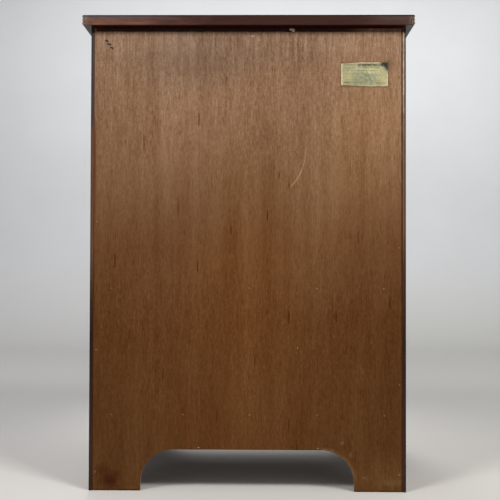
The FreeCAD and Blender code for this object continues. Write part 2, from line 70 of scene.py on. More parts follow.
# ------------------------------------------------------------------ node helpers
class Mat:
    """A small shader builder: every value is a socket, a number or a tuple."""

    def __init__(self, name):
        self.mat = bpy.data.materials.new(name)
        self.mat.use_nodes = True
        self.nt = self.mat.node_tree
        self.nt.nodes.clear()
        self.out = self.add("ShaderNodeOutputMaterial")
        self.b = self.add("ShaderNodeBsdfPrincipled")
        self.nt.links.new(self.b.outputs["BSDF"], self.out.inputs["Surface"])
        tc = self.add("ShaderNodeTexCoord")
        self.P = tc.outputs["Object"]
        self.x, self.y, self.z = self.split(self.P)
        self.nx, self.ny, self.nz = self.split(tc.outputs["Normal"])

    def add(self, kind, **props):
        n = self.nt.nodes.new(kind)
        for k, v in props.items():
            setattr(n, k, v)
        return n

    def put(self, sock, v):
        if isinstance(v, bpy.types.NodeSocket):
            self.nt.links.new(v, sock)
        else:
            sock.default_value = v

    def split(self, v):
        n = self.add("ShaderNodeSeparateXYZ")
        self.put(n.inputs[0], v)
        return n.outputs[0], n.outputs[1], n.outputs[2]

    def vec(self, x=0.0, y=0.0, z=0.0):
        n = self.add("ShaderNodeCombineXYZ")
        for i, v in enumerate((x, y, z)):
            self.put(n.inputs[i], v)
        return n.outputs[0]

    def op(self, kind, a, b=0.0, c=None, clamp=False):
        n = self.add("ShaderNodeMath", operation=kind, use_clamp=clamp)
        self.put(n.inputs[0], a)
        self.put(n.inputs[1], b)
        if c is not None:
            self.put(n.inputs[2], c)
        return n.outputs[0]

    def plus(self, a, b):
        return self.op("ADD", a, b)

    def minus(self, a, b):
        return self.op("SUBTRACT", a, b)

    def times(self, a, b):
        return self.op("MULTIPLY", a, b)

    def mad(self, a, b, c):
        return self.op("MULTIPLY_ADD", a, b, c)

    def absv(self, a):
        return self.op("ABSOLUTE", a)

    def top(self, a, b):
        return self.op("MAXIMUM", a, b)

    def low(self, a, b):
        return self.op("MINIMUM", a, b)

    def rng(self, v, a0, a1, b0=0.0, b1=1.0, smooth=False):
        n = self.add("ShaderNodeMapRange")
        n.interpolation_type = "SMOOTHSTEP" if smooth else "LINEAR"
        n.clamp = True
        for name, val in (("Value", v), ("From Min", a0), ("From Max", a1), ("To Min", b0), ("To Max", b1)):
            self.put(n.inputs[name], val)
        return n.outputs["Result"]

    def noise(self, v, detail=2.0, rough=0.5, dist=0.0, scale=1.0, color=False):
        n = self.add("ShaderNodeTexNoise")
        n.noise_dimensions = "3D"
        self.put(n.inputs["Vector"], v)
        n.inputs["Scale"].default_value = scale
        n.inputs["Detail"].default_value = detail
        n.inputs["Roughness"].default_value = rough
        n.inputs["Distortion"].default_value = dist
        return n.outputs["Color"] if color else n.outputs["Fac"]

    def ramp(self, fac, stops, interp="LINEAR"):
        n = self.add("ShaderNodeValToRGB")
        cr = n.color_ramp
        cr.interpolation = interp
        while len(cr.elements) < len(stops):
            cr.elements.new(0.5)
        for e, (p, c) in zip(cr.elements, stops):
            e.position = p
            e.color = c if len(c) == 4 else (*c, 1.0)
        self.put(n.inputs["Fac"], fac)
        return n.outputs["Color"]

    def mix(self, f, a, b, mode="MIX"):
        n = self.add("ShaderNodeMix", data_type="RGBA", blend_type=mode)
        n.clamp_factor = True
        self.put(n.inputs[0], f)
        self.put(n.inputs[6], a)
        self.put(n.inputs[7], b)
        return n.outputs[2]

    def dim(self, col, k):
        """Colour times a grey factor k, a socket or a number."""
        n = self.add("ShaderNodeVectorMath", operation="SCALE")
        self.put(n.inputs[0], col)
        self.put(n.inputs["Scale"], k)
        return n.outputs[0]

    def lift(self, col, g):
        """Colour moved by the same step g in red, green and blue, as the eye counts steps."""
        n = self.add("ShaderNodeGamma")
        self.put(n.inputs["Color"], col)
        n.inputs["Gamma"].default_value = 1 / 2.2
        a = self.add("ShaderNodeVectorMath", operation="ADD")
        self.put(a.inputs[0], n.outputs[0])
        self.put(a.inputs[1], self.vec(g, g, g))
        t = self.add("ShaderNodeVectorMath", operation="MAXIMUM")
        self.put(t.inputs[0], a.outputs[0])
        t.inputs[1].default_value = (0.004, 0.004, 0.004)
        o = self.add("ShaderNodeGamma")
        self.put(o.inputs["Color"], t.outputs[0])
        o.inputs["Gamma"].default_value = 2.2
        return o.outputs[0]

    def bump(self, h, strength=0.5, dist=0.001, normal=None):
        n = self.add("ShaderNodeBump")
        n.inputs["Strength"].default_value = strength
        n.inputs["Distance"].default_value = dist
        self.put(n.inputs["Height"], h)
        if normal is not None:
            self.put(n.inputs["Normal"], normal)
        return n.outputs["Normal"]

    def spot(self, x0, z0, rx, rz, soft=0.5, wob=None, wob_amt=0.0, u=None, v=None):
        """Soft ellipse mask in the plane (x, z) of the object, or of the sockets u and v."""
        u = self.x if u is None else u
        v = self.z if v is None else v
        dx = self.times(self.minus(u, x0), 1.0 / rx)
        dz = self.times(self.minus(v, z0), 1.0 / rz)
        d = self.op("SQRT", self.plus(self.times(dx, dx), self.times(dz, dz)))
        if wob is not None:
            d = self.mad(wob, wob_amt, d)
        return self.rng(d, 1.0 - soft, 1.0 + soft, 1.0, 0.0, smooth=True)

    def set(self, **kw):
        for k, v in kw.items():
            self.put(self.b.inputs[k.replace("_", " ")], v)


# ------------------------------------------------------------------ woods
def grain_axes(m, grain):
    return {"x": (m.x, m.y, m.z, m.nx), "y": (m.y, m.x, m.z, m.ny), "z": (m.z, m.x, m.y, m.nz)}[grain]


def wood_core(m, grain, pith=(0.1, -0.15), tilt=(0.03, 0.02), rings=190.0, ring_amt=0.30, band_amt=0.45,
              streak_amt=0.35, fibre_amt=0.25, shift=0.0, figure=0.0, figure_scale=26.0, axes=None):
    """Solid-wood pattern. Returns (tone 0..1, fibre, pores 0..1, end-grain mask)."""
    g, a, b, ng = axes or grain_axes(m, grain)
    g = m.plus(g, shift)
    wobble = m.noise(m.vec(m.times(a, 5.0), m.times(b, 5.0), m.times(g, 1.6)), detail=2, rough=0.5, color=True)
    w1, w2, w3 = m.split(wobble)
    aw = m.mad(w1, 0.022, m.minus(a, 0.011))
    bw = m.mad(w2, 0.022, m.minus(b, 0.011))
    da = m.minus(m.mad(g, tilt[0], aw), pith[0])
    db = m.minus(m.mad(g, tilt[1], bw), pith[1])
    rad = m.op("SQRT", m.plus(m.times(da, da), m.times(db, db)))
    ringn = m.noise(m.vec(m.times(rad, rings * 0.35), 0.0, m.times(g, 0.8)), detail=3, rough=0.7)
    ph = m.op("FRACT", m.mad(rad, rings, m.times(ringn, 2.2)))
    ring = m.ramp(ph, [(0.0, (0.25,) * 3), (0.22, (0.62,) * 3), (0.75, (0.72,) * 3), (0.93, (0.2,) * 3), (1.0, (0.25,) * 3)],
                  interp="EASE")
    band = m.noise(m.vec(m.times(aw, 34.0), m.times(bw, 34.0), m.times(g, 1.1)), detail=3, rough=0.55)
    streak = m.noise(m.vec(m.times(aw, 260.0), m.times(bw, 260.0), m.times(g, 5.5)), detail=4, rough=0.62)
    fibre = m.noise(m.vec(m.times(aw, 1100.0), m.times(bw, 1100.0), m.times(g, 22.0)), detail=3, rough=0.6)
    tone = m.mad(m.minus(ring, 0.5), ring_amt, 0.5)
    tone = m.mad(m.minus(band, 0.5), band_amt * 2.0, tone)
    tone = m.mad(m.minus(streak, 0.5), streak_amt * 2.0, tone)
    tone = m.mad(m.minus(fibre, 0.5), fibre_amt * 2.0, tone)
    if figure:
        curl = m.noise(m.vec(m.times(aw, 9.0), m.times(bw, 9.0), m.times(g, figure_scale)), detail=2, rough=0.5, dist=0.6)
        tone = m.mad(m.minus(curl, 0.5), figure * 2.0, tone)
    porev = m.noise(m.vec(m.times(aw, 1500.0), m.times(bw, 1500.0), m.times(g, 60.0)), detail=1, rough=0.5)
    pore = m.rng(porev, 0.58, 0.70, smooth=True)
    end = m.rng(m.absv(ng), 0.70, 0.85)
    return tone, fibre, pore, end


def wood(name, grain, tones, rough=(0.42, 0.58), coat=0.0, coat_rough=0.2, pore_dark=0.45, bump=0.25, end_dark=0.62,
         finish=None, spec=0.5, two=None, **kw):
    """A wood. tones are (dark, mid, light). two = (mask function, other grain) for a node with pieces both ways."""
    m = Mat(name)
    if two:
        mask = two[0](m)
        ga, aa, ba, na = grain_axes(m, grain)
        gb, ab, bb, nb = grain_axes(m, two[1])

        def lerp(p, q):
            return m.plus(p, m.times(mask, m.minus(q, p)))
        kw["axes"] = (lerp(ga, gb), lerp(aa, ab), lerp(ba, bb), lerp(na, nb))
    tone, fibre, pore, end = wood_core(m, grain, **kw)
    col = m.ramp(tone, [(0.12, tones[0]), (0.50, tones[1]), (0.88, tones[2])])
    col = m.dim(col, m.mad(pore, -pore_dark, 1.0))
    col = m.dim(col, m.mad(end, end_dark - 1.0, 1.0))
    r = m.rng(fibre, 0.25, 0.75, rough[0], rough[1])
    h = m.minus(m.times(fibre, 0.6), m.times(pore, 0.9))
    if finish:
        col, r, h = finish(m, col, r, h)
    m.set(Base_Color=col, Roughness=r)
    m.set(Specular_IOR_Level=spec)
    if coat:
        m.set(Coat_Weight=coat, Coat_Roughness=coat_rough)
    m.set(Normal=m.bump(h, bump, 0.0004))
    return m.mat


MAHOGANY = (rgb(50, 24, 17), rgb(88, 44, 30), rgb(128, 74, 50))
MAHOGANY_RED = (rgb(58, 24, 14), rgb(112, 52, 30), rgb(156, 86, 50))


def top_finish(m, col, r, h):
    # the back edge is plainly stained; its paler, greyer ends are painted sheen, strongest towards one end and greyer
    # on the upper half
    back = m.rng(m.y, 0.2195, 0.2215)
    patch = m.noise(m.vec(m.times(m.x, 26.0), 0.0, m.times(m.z, 150.0)), detail=3, rough=0.6)
    grit = m.noise(m.vec(m.times(m.x, 420.0), 0.0, m.times(m.z, 420.0)), detail=3, rough=0.7)
    stain = m.dim(m.mix(m.rng(patch, 0.3, 0.7), rgb(47, 20, 9), rgb(60, 28, 15)), m.rng(grit, 0.3, 0.7, 0.90, 1.10))
    col = m.mix(m.times(back, 0.90), col, stain)
    sheen_left = m.rng(m.mad(m.minus(patch, 0.5), 0.12, m.x), 0.03, 0.28, 0.0, 1.15, smooth=True)
    upper = m.rng(m.z, 0.7530, 0.7570, smooth=True)
    sheen_tint = m.mix(upper, rgb(128, 84, 68), rgb(108, 90, 92))
    col = m.mix(m.times(m.times(back, sheen_left), m.rng(patch, 0.30, 0.70, 0.45, 0.95)), col, sheen_tint)
    # the same painted sheen, weaker, at the other end of the back edge
    other = m.times(m.times(back, m.rng(m.x, -0.16, -0.25, smooth=True)), m.rng(patch, 0.30, 0.70, 0.35, 0.85))
    col = m.mix(m.times(other, 0.75), col, m.mix(upper, rgb(92, 66, 58), rgb(92, 78, 74)))
    # chipped and gritty where the reeds run out at the ends
    ends = m.times(m.rng(m.absv(m.x), 0.2560, 0.2610), m.rng(grit, 0.46, 0.62))
    col = m.mix(m.times(m.times(back, ends), 0.75), col, rgb(150, 138, 122))
    pits = m.times(m.rng(m.absv(m.x), 0.2580, 0.2630), m.rng(grit, 0.44, 0.34))
    col = m.mix(m.times(m.times(back, pits), 0.75), col, rgb(26, 20, 18))
    # the underside is painted dark as shade, near black where it meets the case
    down = m.rng(m.nz, -0.5, -0.8)
    ax = m.absv(m.x)
    under = m.mix(m.rng(m.mad(m.minus(patch, 0.5), 0.002, ax), 0.2538, 0.2612, smooth=True), rgb(17, 10, 9), rgb(41, 37, 35))
    under = m.mix(m.rng(ax, 0.2505, 0.2535), rgb(56, 8, 1), under)
    col = m.mix(m.times(down, 0.92), col, under)
    # painted shade along the downward-facing belly of the lowest reed
    belly = m.times(m.rng(m.nz, -0.15, -0.45), m.rng(ax, 0.2640, 0.2650))
    col = m.mix(m.times(belly, 0.75), col, rgb(22, 20, 24))
    # darker along the upper and lower arrises of the back edge
    rim = m.top(m.rng(m.z, 0.7596, 0.7608, 0.0, 0.88), m.times(m.rng(m.z, 0.7476, 0.7464), 0.35))
    col = m.mix(m.times(rim, back), col, rgb(16, 9, 9))
    r = m.mad(back, 0.25, m.mad(m.times(rim, back), 0.30, r))
    return col, r, h


def side_finish(worn):
    """The polished side; its back edge is plain, bare in places, and darker low down."""
    def f(m, col, r, h):
        # raw back edge, stained near black, and rubbed
        back = m.rng(m.y, 0.2119, 0.2122)
        n = m.noise(m.vec(m.times(m.x, 400.0), 0.0, m.times(m.z, 22.0)), detail=3, rough=0.65)
        n2 = m.noise(m.vec(m.times(m.x, 250.0), 3.0, m.times(m.z, 75.0)), detail=4, rough=0.7)
        zz = m.mad(m.minus(n2, 0.5), 0.030, m.z)
        inner = m.rng(m.absv(m.x), 0.2522, 0.2503, 0.0, 1.0, smooth=True)
        if worn:
            edge = m.ramp(zz, [(0.06, rgb(46, 27, 12)), (0.24, rgb(34, 14, 3)), (0.36, rgb(62, 38, 22)), (0.42, rgb(92, 64, 44)),
                               (0.70, rgb(100, 84, 70))])
            # rubbed through to bare wood next to the joint, near the top
            strip = m.times(m.rng(m.absv(m.plus(m.x, 0.2498)), 0.0008, 0.0017, 1.0, 0.0, smooth=True), m.rng(m.z, 0.560, 0.660))
            edge = m.mix(m.times(strip, m.rng(n2, 0.38, 0.60, 0.10, 0.90)), edge, rgb(166, 146, 126))
            edge = m.dim(edge, m.mad(m.rng(m.absv(m.minus(m.absv(m.x), 0.2497)), 0.0005, 0.0016, 1.0, 0.0, smooth=True), 0.50, 1.0))
            slate = m.times(m.rng(m.absv(m.x), 0.2508, 0.2520), m.rng(m.z, 0.600, 0.690, 0.0, 0.75))
            edge = m.mix(slate, edge, rgb(62, 58, 54))
        else:
            edge = m.ramp(zz, [(0.06, rgb(50, 30, 15)), (0.25, rgb(32, 12, 2)), (0.31, rgb(58, 32, 15)), (0.38, rgb(92, 64, 46)), (0.575, rgb(98, 64, 43)),
                               (0.592, rgb(66, 54, 48)), (0.70, rgb(66, 56, 52))])
        edge = m.dim(edge, m.times(m.rng(n, 0.3, 0.7, 0.78, 1.18), m.mad(inner, 0.30, 0.84)))
        # painted shadow of the top's overhang across the head of the back edge
        edge = m.mix(m.rng(m.mad(n2, 0.004, m.z), 0.7365, 0.7395, 0.0, 0.92, smooth=True), edge, rgb(26, 9, 5))
        col = m.mix(back, col, edge)
        r = m.plus(r, m.times(back, 0.12))
        # grime towards the floor
        low = m.rng(m.z, 0.0, 0.05, 0.35, 0.0, smooth=True)
        col = m.mix(low, col, rgb(34, 20, 15))
        return col, r, h
    return f


def ply_back():
    """Stained three-ply panel, its grain upright, with the marks it has gathered."""
    m = Mat("stained_plywood")
    bx, bz = m.x, m.z                           # the board's own coordinates
    # the marks were laid out from a slightly different standpoint: a gentle warp brings them onto the board
    m.x = m.plus(m.mad(bx, m.plus(m.mad(bx, -0.00675, 0.99706), m.times(bz, 0.00951)), 0.00003), m.times(bz, -0.00078))
    m.z = m.plus(m.mad(bz, m.plus(m.mad(bz, 0.00951, 0.99385), m.times(bx, -0.00675)), -0.00177), m.times(bx, 0.00330))
    wob = m.noise(m.vec(m.times(m.x, 4.0), 0.0, m.times(m.z, 2.2)), detail=2, rough=0.5)
    xw = m.mad(wob, 0.016, m.x)
    broad = m.noise(m.vec(m.times(xw, 9.0), 3.1, m.times(m.z, 1.3)), detail=2, rough=0.5)
    band = m.noise(m.vec(m.times(xw, 36.0), 0.7, m.times(m.z, 2.0)), detail=2, rough=0.55)
    streak = m.noise(m.vec(m.times(xw, 230.0), 1.3, m.times(m.z, 34.0)), detail=3, rough=0.6)
    fleck = m.noise(m.vec(m.times(xw, 400.0), 5.0, m.times(m.z, 125.0)), detail=3, rough=0.62)
    fine = m.noise(m.vec(m.times(xw, 800.0), 2.0, m.times(m.z, 420.0)), detail=2, rough=0.6)
    # the stain is paler and greyer towards the top and browner below: partly bleached stain, partly painted sheen from
    # the light above
    base = m.ramp(m.mad(m.minus(broad, 0.5), 0.10, m.z),
                  [(0.06, rgb(89, 54, 20)), (0.27, rgb(95, 57, 22)), (0.40, rgb(107, 69, 37)), (0.50, rgb(128, 92, 61)),
                   (0.60, rgb(138, 103, 74)), (0.72, rgb(140, 109, 86))])
    up = m.rng(m.z, 0.20, 0.62, smooth=True)
    tone = m.mad(m.minus(broad, 0.5), 0.50, 0.5)
    tone = m.mad(m.minus(band, 0.5), 0.74, tone)
    sharp = m.mad(m.minus(streak, 0.5), 0.74, m.mad(m.minus(fleck, 0.5), 1.04, m.times(m.minus(fine, 0.5), 0.92)))
    # the grain's contrast grows towards the top: painted sheen picking out the grain
    high = m.rng(m.z, 0.44, 0.70, smooth=True)
    calm = m.rng(m.z, 0.24, 0.40, smooth=True)
    tone = m.mad(sharp, m.mad(high, 0.84, m.mad(calm, -0.36, 1.06)), tone)
    comb = m.noise(m.vec(m.times(xw, 330.0), 21.0, m.times(m.z, 8.0)), detail=1, rough=0.5)
    tone = m.mad(m.minus(comb, 0.5), m.rng(m.z, 0.655, 0.735, 0.0, 1.1, smooth=True), tone)
    # open pores: short dark dashes, crowded here and there
    crowd = m.noise(m.vec(m.times(m.x, 20.0), 4.0, m.times(m.z, 5.0)), detail=2, rough=0.5)
    pv = m.noise(m.vec(m.times(xw, 620.0), 8.0, m.times(m.z, 48.0)), detail=1, rough=0.5)
    pore = m.rng(m.mad(crowd, 0.25, m.minus(pv, 0.125)), 0.57, 0.70, smooth=True)
    # pale flecks, brighter higher up as painted sheen on the grain
    lv = m.noise(m.vec(m.times(xw, 520.0), 15.0, m.times(m.z, 40.0)), detail=1, rough=0.5)
    lit = m.rng(lv, 0.62, 0.76, smooth=True)
    tone = m.mad(pore, -0.21, m.mad(lit, m.mad(up, 0.16, 0.06), tone))
    step = m.times(m.rng(tone, -0.4, 1.4, -0.9, 0.9), m.rng(m.z, 0.06, 0.58, 0.116, 0.208))
    col = m.lift(base, m.mad(up, 0.002, m.plus(step, 0.001)))
    # broad sheets of tone: paler up the middle, darker down both sides below
    mid = m.times(m.spot(0.004, 0.235, 0.085, 0.230, soft=0.7), 1.0)
    side = m.times(m.rng(m.absv(m.plus(m.x, 0.002)), 0.13, 0.24, smooth=True), m.rng(m.z, 0.05, 0.25, 0.4, 1.0))
    corner = m.top(m.spot(-0.225, 0.680, 0.090, 0.120, soft=0.8), m.times(m.spot(0.215, 0.705, 0.090, 0.060, soft=0.8), 0.55))
    drab = m.spot(0.105, 0.690, 0.090, 0.045, soft=0.8, wob=broad, wob_amt=0.4)
    k = m.mad(mid, 0.10, m.mad(side, -0.09, 1.0))
    k = m.mad(corner, 0.21, m.mad(drab, -0.12, k))
    k = m.mad(m.spot(-0.205, 0.510, 0.080, 0.140, soft=0.8), 0.17, k)
    k = m.mad(m.spot(0.060, 0.640, 0.180, 0.050, soft=0.8, wob=broad, wob_amt=0.4), 0.06, k)
    k = m.mad(m.spot(-0.020, 0.400, 0.100, 0.060, soft=0.8), 0.04, k)
    k = m.mad(m.spot(0.105, 0.462, 0.060, 0.060, soft=0.8), -0.12, k)
    col = m.dim(col, k)
    col = m.mix(m.times(mid, 0.14), col, m.mix(0.5, col, rgb(146, 84, 40)))
    col = m.mix(m.times(corner, 0.15), col, rgb(168, 128, 84))
    col = m.mix(m.times(drab, 0.25), col, rgb(108, 92, 76))
    # a few places where the sheet is lighter or darker than its neighbours
    shift = m.times(m.rng(m.z, 0.690, 0.715, smooth=True), 0.020)
    for x0, z0, rx, rz, g in ((-0.005, 0.605, 0.062, 0.075, 0.034), (-0.096, 0.358, 0.100, 0.060, 0.017),
                              (0.150, 0.414, 0.045, 0.070, -0.020), (-0.222, 0.018, 0.040, 0.030, 0.038),
                              (0.240, 0.030, 0.012, 0.050, 0.026), (0.135, 0.050, 0.030, 0.050, -0.010)):
        shift = m.mad(m.spot(x0, z0, rx, rz, soft=0.8), g, shift)
    col = m.lift(col, shift)
    # redder and yellower sheets of tone
    hue = m.noise(m.vec(m.times(xw, 16.0), 9.0, m.times(m.z, 1.6)), detail=2, rough=0.5)
    col = m.mix(m.rng(hue, 0.55, 0.75, 0.0, 0.35), col, m.mix(0.5, col, rgb(128, 70, 44)))
    # mineral streaks, each at its own place
    darks = [(0.1674, 0.555, 0.018, 0.0009), (0.0788, 0.593, 0.016, 0.0010), (-0.0321, 0.439, 0.010, 0.0009),
             (0.0265, 0.415, 0.010, 0.0008), (-0.0505, 0.504, 0.008, 0.0010), (-0.0667, 0.488, 0.008, 0.0008),
             (0.0802, 0.355, 0.012, 0.0009), (-0.0668, 0.276, 0.014, 0.0009), (-0.1421, 0.276, 0.013, 0.0009),
             (-0.0669, 0.104, 0.014, 0.0010), (-0.2286, 0.297, 0.012, 0.0009), (0.2129, 0.366, 0.016, 0.0009),
             (0.1347, 0.183, 0.014, 0.0009), (0.0350, 0.655, 0.012, 0.0008), (-0.1650, 0.512, 0.016, 0.0008),
             (0.1120, 0.452, 0.018, 0.0008), (-0.0120, 0.205, 0.015, 0.0009), (-0.1780, 0.405, 0.015, 0.0008),
             (0.1890, 0.247, 0.013, 0.0008), (0.0480, 0.118, 0.016, 0.0009)]
    dk = None
    for k, (x0, z0, hz, w) in enumerate(darks):
        a = m.rng(m.absv(m.minus(m.x, x0)), w * 0.3, w * 1.5, 1.0, 0.0, smooth=True)
        b = m.rng(m.absv(m.minus(m.z, z0)), hz * 0.25, hz, 1.0, 0.0, smooth=True)
        s = m.times(m.times(a, b), 0.62 if k < 13 else 0.40)
        dk = s if dk is None else m.top(dk, s)
    crack = m.times(m.rng(m.absv(m.plus(m.mad(wob, 0.002, m.x), 0.0787)), 0.0003, 0.0010, 1.0, 0.0, smooth=True),
                    m.rng(m.z, 0.066, 0.084, 0.8, 0.0))
    dk = m.top(dk, crack)
    col = m.lift(col, m.times(dk, m.rng(m.z, 0.10, 0.60, -0.17, -0.30)))

    # the long curved scratch
    s = m.rng(m.z, 0.4835, 0.5700, 1.0, 0.0)
    cx = m.mad(m.op("POWER", s, 3.3), 0.0262, -0.0942)
    wn = m.noise(m.vec(m.times(m.x, 300.0), 0.0, m.times(m.z, 160.0)), detail=3, rough=0.7)
    dxs = m.absv(m.minus(m.x, cx))
    wide = m.rng(s, 0.0, 1.0, 0.0008, 0.0017)
    line = m.rng(m.op("DIVIDE", dxs, wide), 0.25, 1.15, 1.0, 0.0, smooth=True)
    inside = m.times(m.rng(s, 0.0, 0.06), m.rng(s, 0.95, 1.0, 1.0, 0.0))
    scratch = m.times(m.times(line, inside), m.times(m.rng(s, 0.15, 0.75, 0.30, 0.9), m.rng(wn, 0.35, 0.6, 0.35, 1.0)))
    col = m.mix(scratch, col, rgb(186, 144, 104))

    # oil or ink soaked into one foot
    n3 = m.noise(m.vec(m.times(m.x, 90.0), 0.0, m.times(m.z, 90.0)), detail=3, rough=0.6)
    sm1 = m.spot(0.2205, 0.0165, 0.0160, 0.0140, soft=0.75, wob=n3, wob_amt=0.5)
    sm2 = m.spot(0.2300, 0.0310, 0.0120, 0.0110, soft=0.85, wob=n3, wob_amt=0.5)
    sm3 = m.spot(0.2080, 0.0240, 0.0060, 0.0070, soft=0.8, wob=n3, wob_amt=0.5)
    smudge = m.top(sm1, m.top(m.times(sm2, 0.7), m.times(sm3, 0.5)))
    col = m.lift(col, m.times(smudge, -0.098))

    # rubbed band low on the other foot, and scuffs round the curve there
    rub = m.times(m.spot(-0.2310, 0.0125, 0.0200, 0.0060, soft=0.5, wob=n3, wob_amt=0.5), 0.22)
    dx = m.plus(bx, ARCH_C)
    dz = m.minus(bz, ARCH_ZC)
    rr = m.minus(m.op("SQRT", m.plus(m.times(dx, dx), m.times(dz, dz))), ARCH_R)
    near = m.times(m.rng(rr, 0.0002, 0.0070, 1.0, 0.0, smooth=True), m.rng(dz, 0.002, 0.016))
    near = m.times(near, m.rng(dx, 0.012, -0.004))
    near = m.times(near, m.rng(n3, 0.38, 0.62, 0.15, 1.0))
    sc1 = m.times(m.spot(-0.1515, 0.0753, 0.0050, 0.0035, soft=0.6, wob=n3, wob_amt=0.8), 0.5)
    sc2 = m.times(m.spot(-0.1650, 0.0560, 0.0040, 0.0060, soft=0.6, wob=n3, wob_amt=0.8), 0.4)
    sc3 = m.times(m.spot(-0.1860, 0.0200, 0.0060, 0.0030, soft=0.6, wob=n3, wob_amt=0.8), 0.4)
    wear = m.top(m.top(rub, m.times(near, 0.65)), m.top(sc1, m.top(sc2, sc3)))
    col = m.mix(wear, col, rgb(128, 104, 66))
    # small pale chips
    chips = None
    for x0, z0, rx, rz in ((-0.0805, 0.2261, 0.0014, 0.0008), (-0.0131, 0.7089, 0.0017, 0.0009), (-0.0074, 0.7297, 0.0034, 0.0020),
                           (-0.0180, 0.7240, 0.0012, 0.0045), (-0.1130, 0.0667, 0.0015, 0.0010), (0.0775, 0.0675, 0.0022, 0.0010),
                           (0.1370, 0.6900, 0.0010, 0.0012), (-0.1976, 0.7412, 0.0040, 0.0008)):
        c = m.spot(x0, z0, rx, rz, soft=0.6, wob=wn, wob_amt=0.8)
        chips = c if chips is None else m.top(chips, c)
    col = m.mix(m.times(chips, 0.80), col, rgb(206, 172, 138))

    # three plain strokes of ink where something was once marked
    ink = None
    for x0, z0, ang, ln in ((0.2288, 0.7215, 0.35, 0.0031), (0.2245, 0.7158, 0.35, 0.0031), (0.2205, 0.7100, 0.35, 0.0031)):
        ca, sa = math.cos(ang), math.sin(ang)
        dx1, dz1 = m.minus(m.x, x0), m.minus(m.z, z0)
        u = m.mad(dx1, ca, m.times(dz1, sa))
        v = m.mad(dx1, -sa, m.times(dz1, ca))
        one = m.times(m.rng(m.absv(u), ln * 0.8, ln * 1.15, 1.0, 0.0, smooth=True),
                      m.rng(m.absv(v), 0.0010, 0.0018, 1.0, 0.0, smooth=True))
        ink = one if ink is None else m.top(ink, one)
    ink = m.times(ink, m.rng(wn, 0.30, 0.55, 0.55, 1.0))
    col = m.mix(m.times(ink, 0.92), col, rgb(16, 14, 18))

    # a thin dark line on the board round the label
    lu = m.minus(m.absv(m.plus(bx, 0.18755)), 0.0374)
    lv2 = m.minus(m.absv(m.minus(bz, 0.66835)), 0.0193)
    ld = m.top(lu, lv2)
    halo = m.times(m.rng(ld, 0.0004, 0.0032, 1.0, 0.0, smooth=True), m.rng(n3, 0.30, 0.60, 0.45, 1.0))
    col = m.mix(m.times(halo, 0.42), col, rgb(84, 66, 38))
    soot = m.times(m.spot(-0.2262, 0.6830, 0.0060, 0.0080, soft=0.8, wob=n3, wob_amt=0.5), 0.45)
    col = m.mix(soot, col, rgb(48, 40, 30))

    # painted shadow of the top's overhang across the head of the panel, and in the joints with the sides painted shade
    # that is partly stain
    n4 = m.noise(m.vec(m.times(m.x, 70.0), 0.0, m.times(m.z, 30.0)), detail=3, rough=0.6)
    under = m.rng(m.mad(n4, 0.0026, m.z), 0.7362, 0.7386, 0.0, 1.0, smooth=True)
    soft = m.rng(m.z, 0.7270, 0.7400, 0.0, 0.45, smooth=True)
    thin = m.rng(m.x, -0.150, -0.205, smooth=True)
    top_shadow = m.top(m.times(under, m.mad(thin, -0.22, 0.96)), m.times(soft, m.mad(thin, -0.5, 1.0)))
    col = m.mix(top_shadow, col, m.mix(thin, rgb(26, 4, 0), rgb(46, 14, 6)))
    tilt = m.mad(m.plus(m.x, 0.1985), 0.30, m.z)
    graze = m.spot(-0.1985, 0.7398, 0.0062, 0.0010, soft=0.6, wob=wn, wob_amt=0.5, v=tilt)
    col = m.mix(m.times(graze, 0.60), col, rgb(150, 96, 82))
    # the joints with the sides: partly stain, partly painted shade in the gaps
    jn = m.noise(m.vec(m.times(bx, 20.0), 0.0, m.times(bz, 34.0)), detail=3, rough=0.6)
    ja = m.times(m.rng(bx, 0.2463, 0.2478, 0.0, 1.0, smooth=True), m.rng(bz, 0.640, 0.560, 0.25, 0.75))
    ja = m.times(ja, m.rng(m.absv(m.minus(bz, 0.430)), 0.040, 0.100, 0.20, 1.0, smooth=True))
    jb = m.times(m.rng(bx, -0.2452, -0.2466, 0.0, 1.0, smooth=True), m.rng(jn, 0.30, 0.60, 0.50, 0.88))
    col = m.mix(m.top(ja, jb), col, rgb(66, 32, 17))
    warm = m.times(m.rng(bx, 0.2446, 0.2458, 0.0, 1.0, smooth=True), m.rng(bz, 0.520, 0.600))
    col = m.mix(m.times(warm, 0.35), col, rgb(150, 108, 88))
    margin = m.times(m.rng(bx, 0.2444, 0.2454, 0.0, 1.0, smooth=True), m.times(m.rng(bz, 0.400, 0.450), m.rng(bz, 0.610, 0.570)))
    col = m.mix(m.times(margin, 0.70), col, rgb(98, 56, 29))
    # painted shade along the foot of the panel where it meets the floor
    foot = m.rng(bz, 0.0008, 0.0035, 0.75, 0.0, smooth=True)
    col = m.mix(foot, col, rgb(30, 16, 8))

    # cut edges show the plies, left raw
    edge = m.rng(m.absv(m.ny), 0.5, 0.6, 1.0, 0.0)
    lay = m.rng(m.absv(m.minus(m.y, 0.20925)), 0.00145, 0.00160)
    raw = m.mix(lay, rgb(150, 128, 108), rgb(196, 172, 146))
    rn = m.noise(m.vec(m.times(m.x, 240.0), m.times(m.y, 900.0), m.times(m.z, 240.0)), detail=3, rough=0.6)
    raw = m.dim(raw, m.rng(rn, 0.3, 0.7, 0.72, 1.08))
    col = m.mix(edge, col, raw)

    rough = m.rng(fleck, 0.3, 0.7, 0.44, 0.56)
    rough = m.mad(pore, 0.12, rough)
    # roughness raised in the painted shadow under the top
    rough = m.low(m.mad(top_shadow, 0.45, m.mad(wear, 0.10, rough)), 0.97)
    h = m.minus(m.mad(fine, 0.5, m.times(fleck, 0.6)), m.times(pore, 0.7))
    h = m.minus(h, m.times(scratch, 0.8))
    m.set(Base_Color=col, Roughness=rough, Specular_IOR_Level=0.13)
    m.set(Normal=m.bump(h, 0.22, 0.0005))
    return m.mat


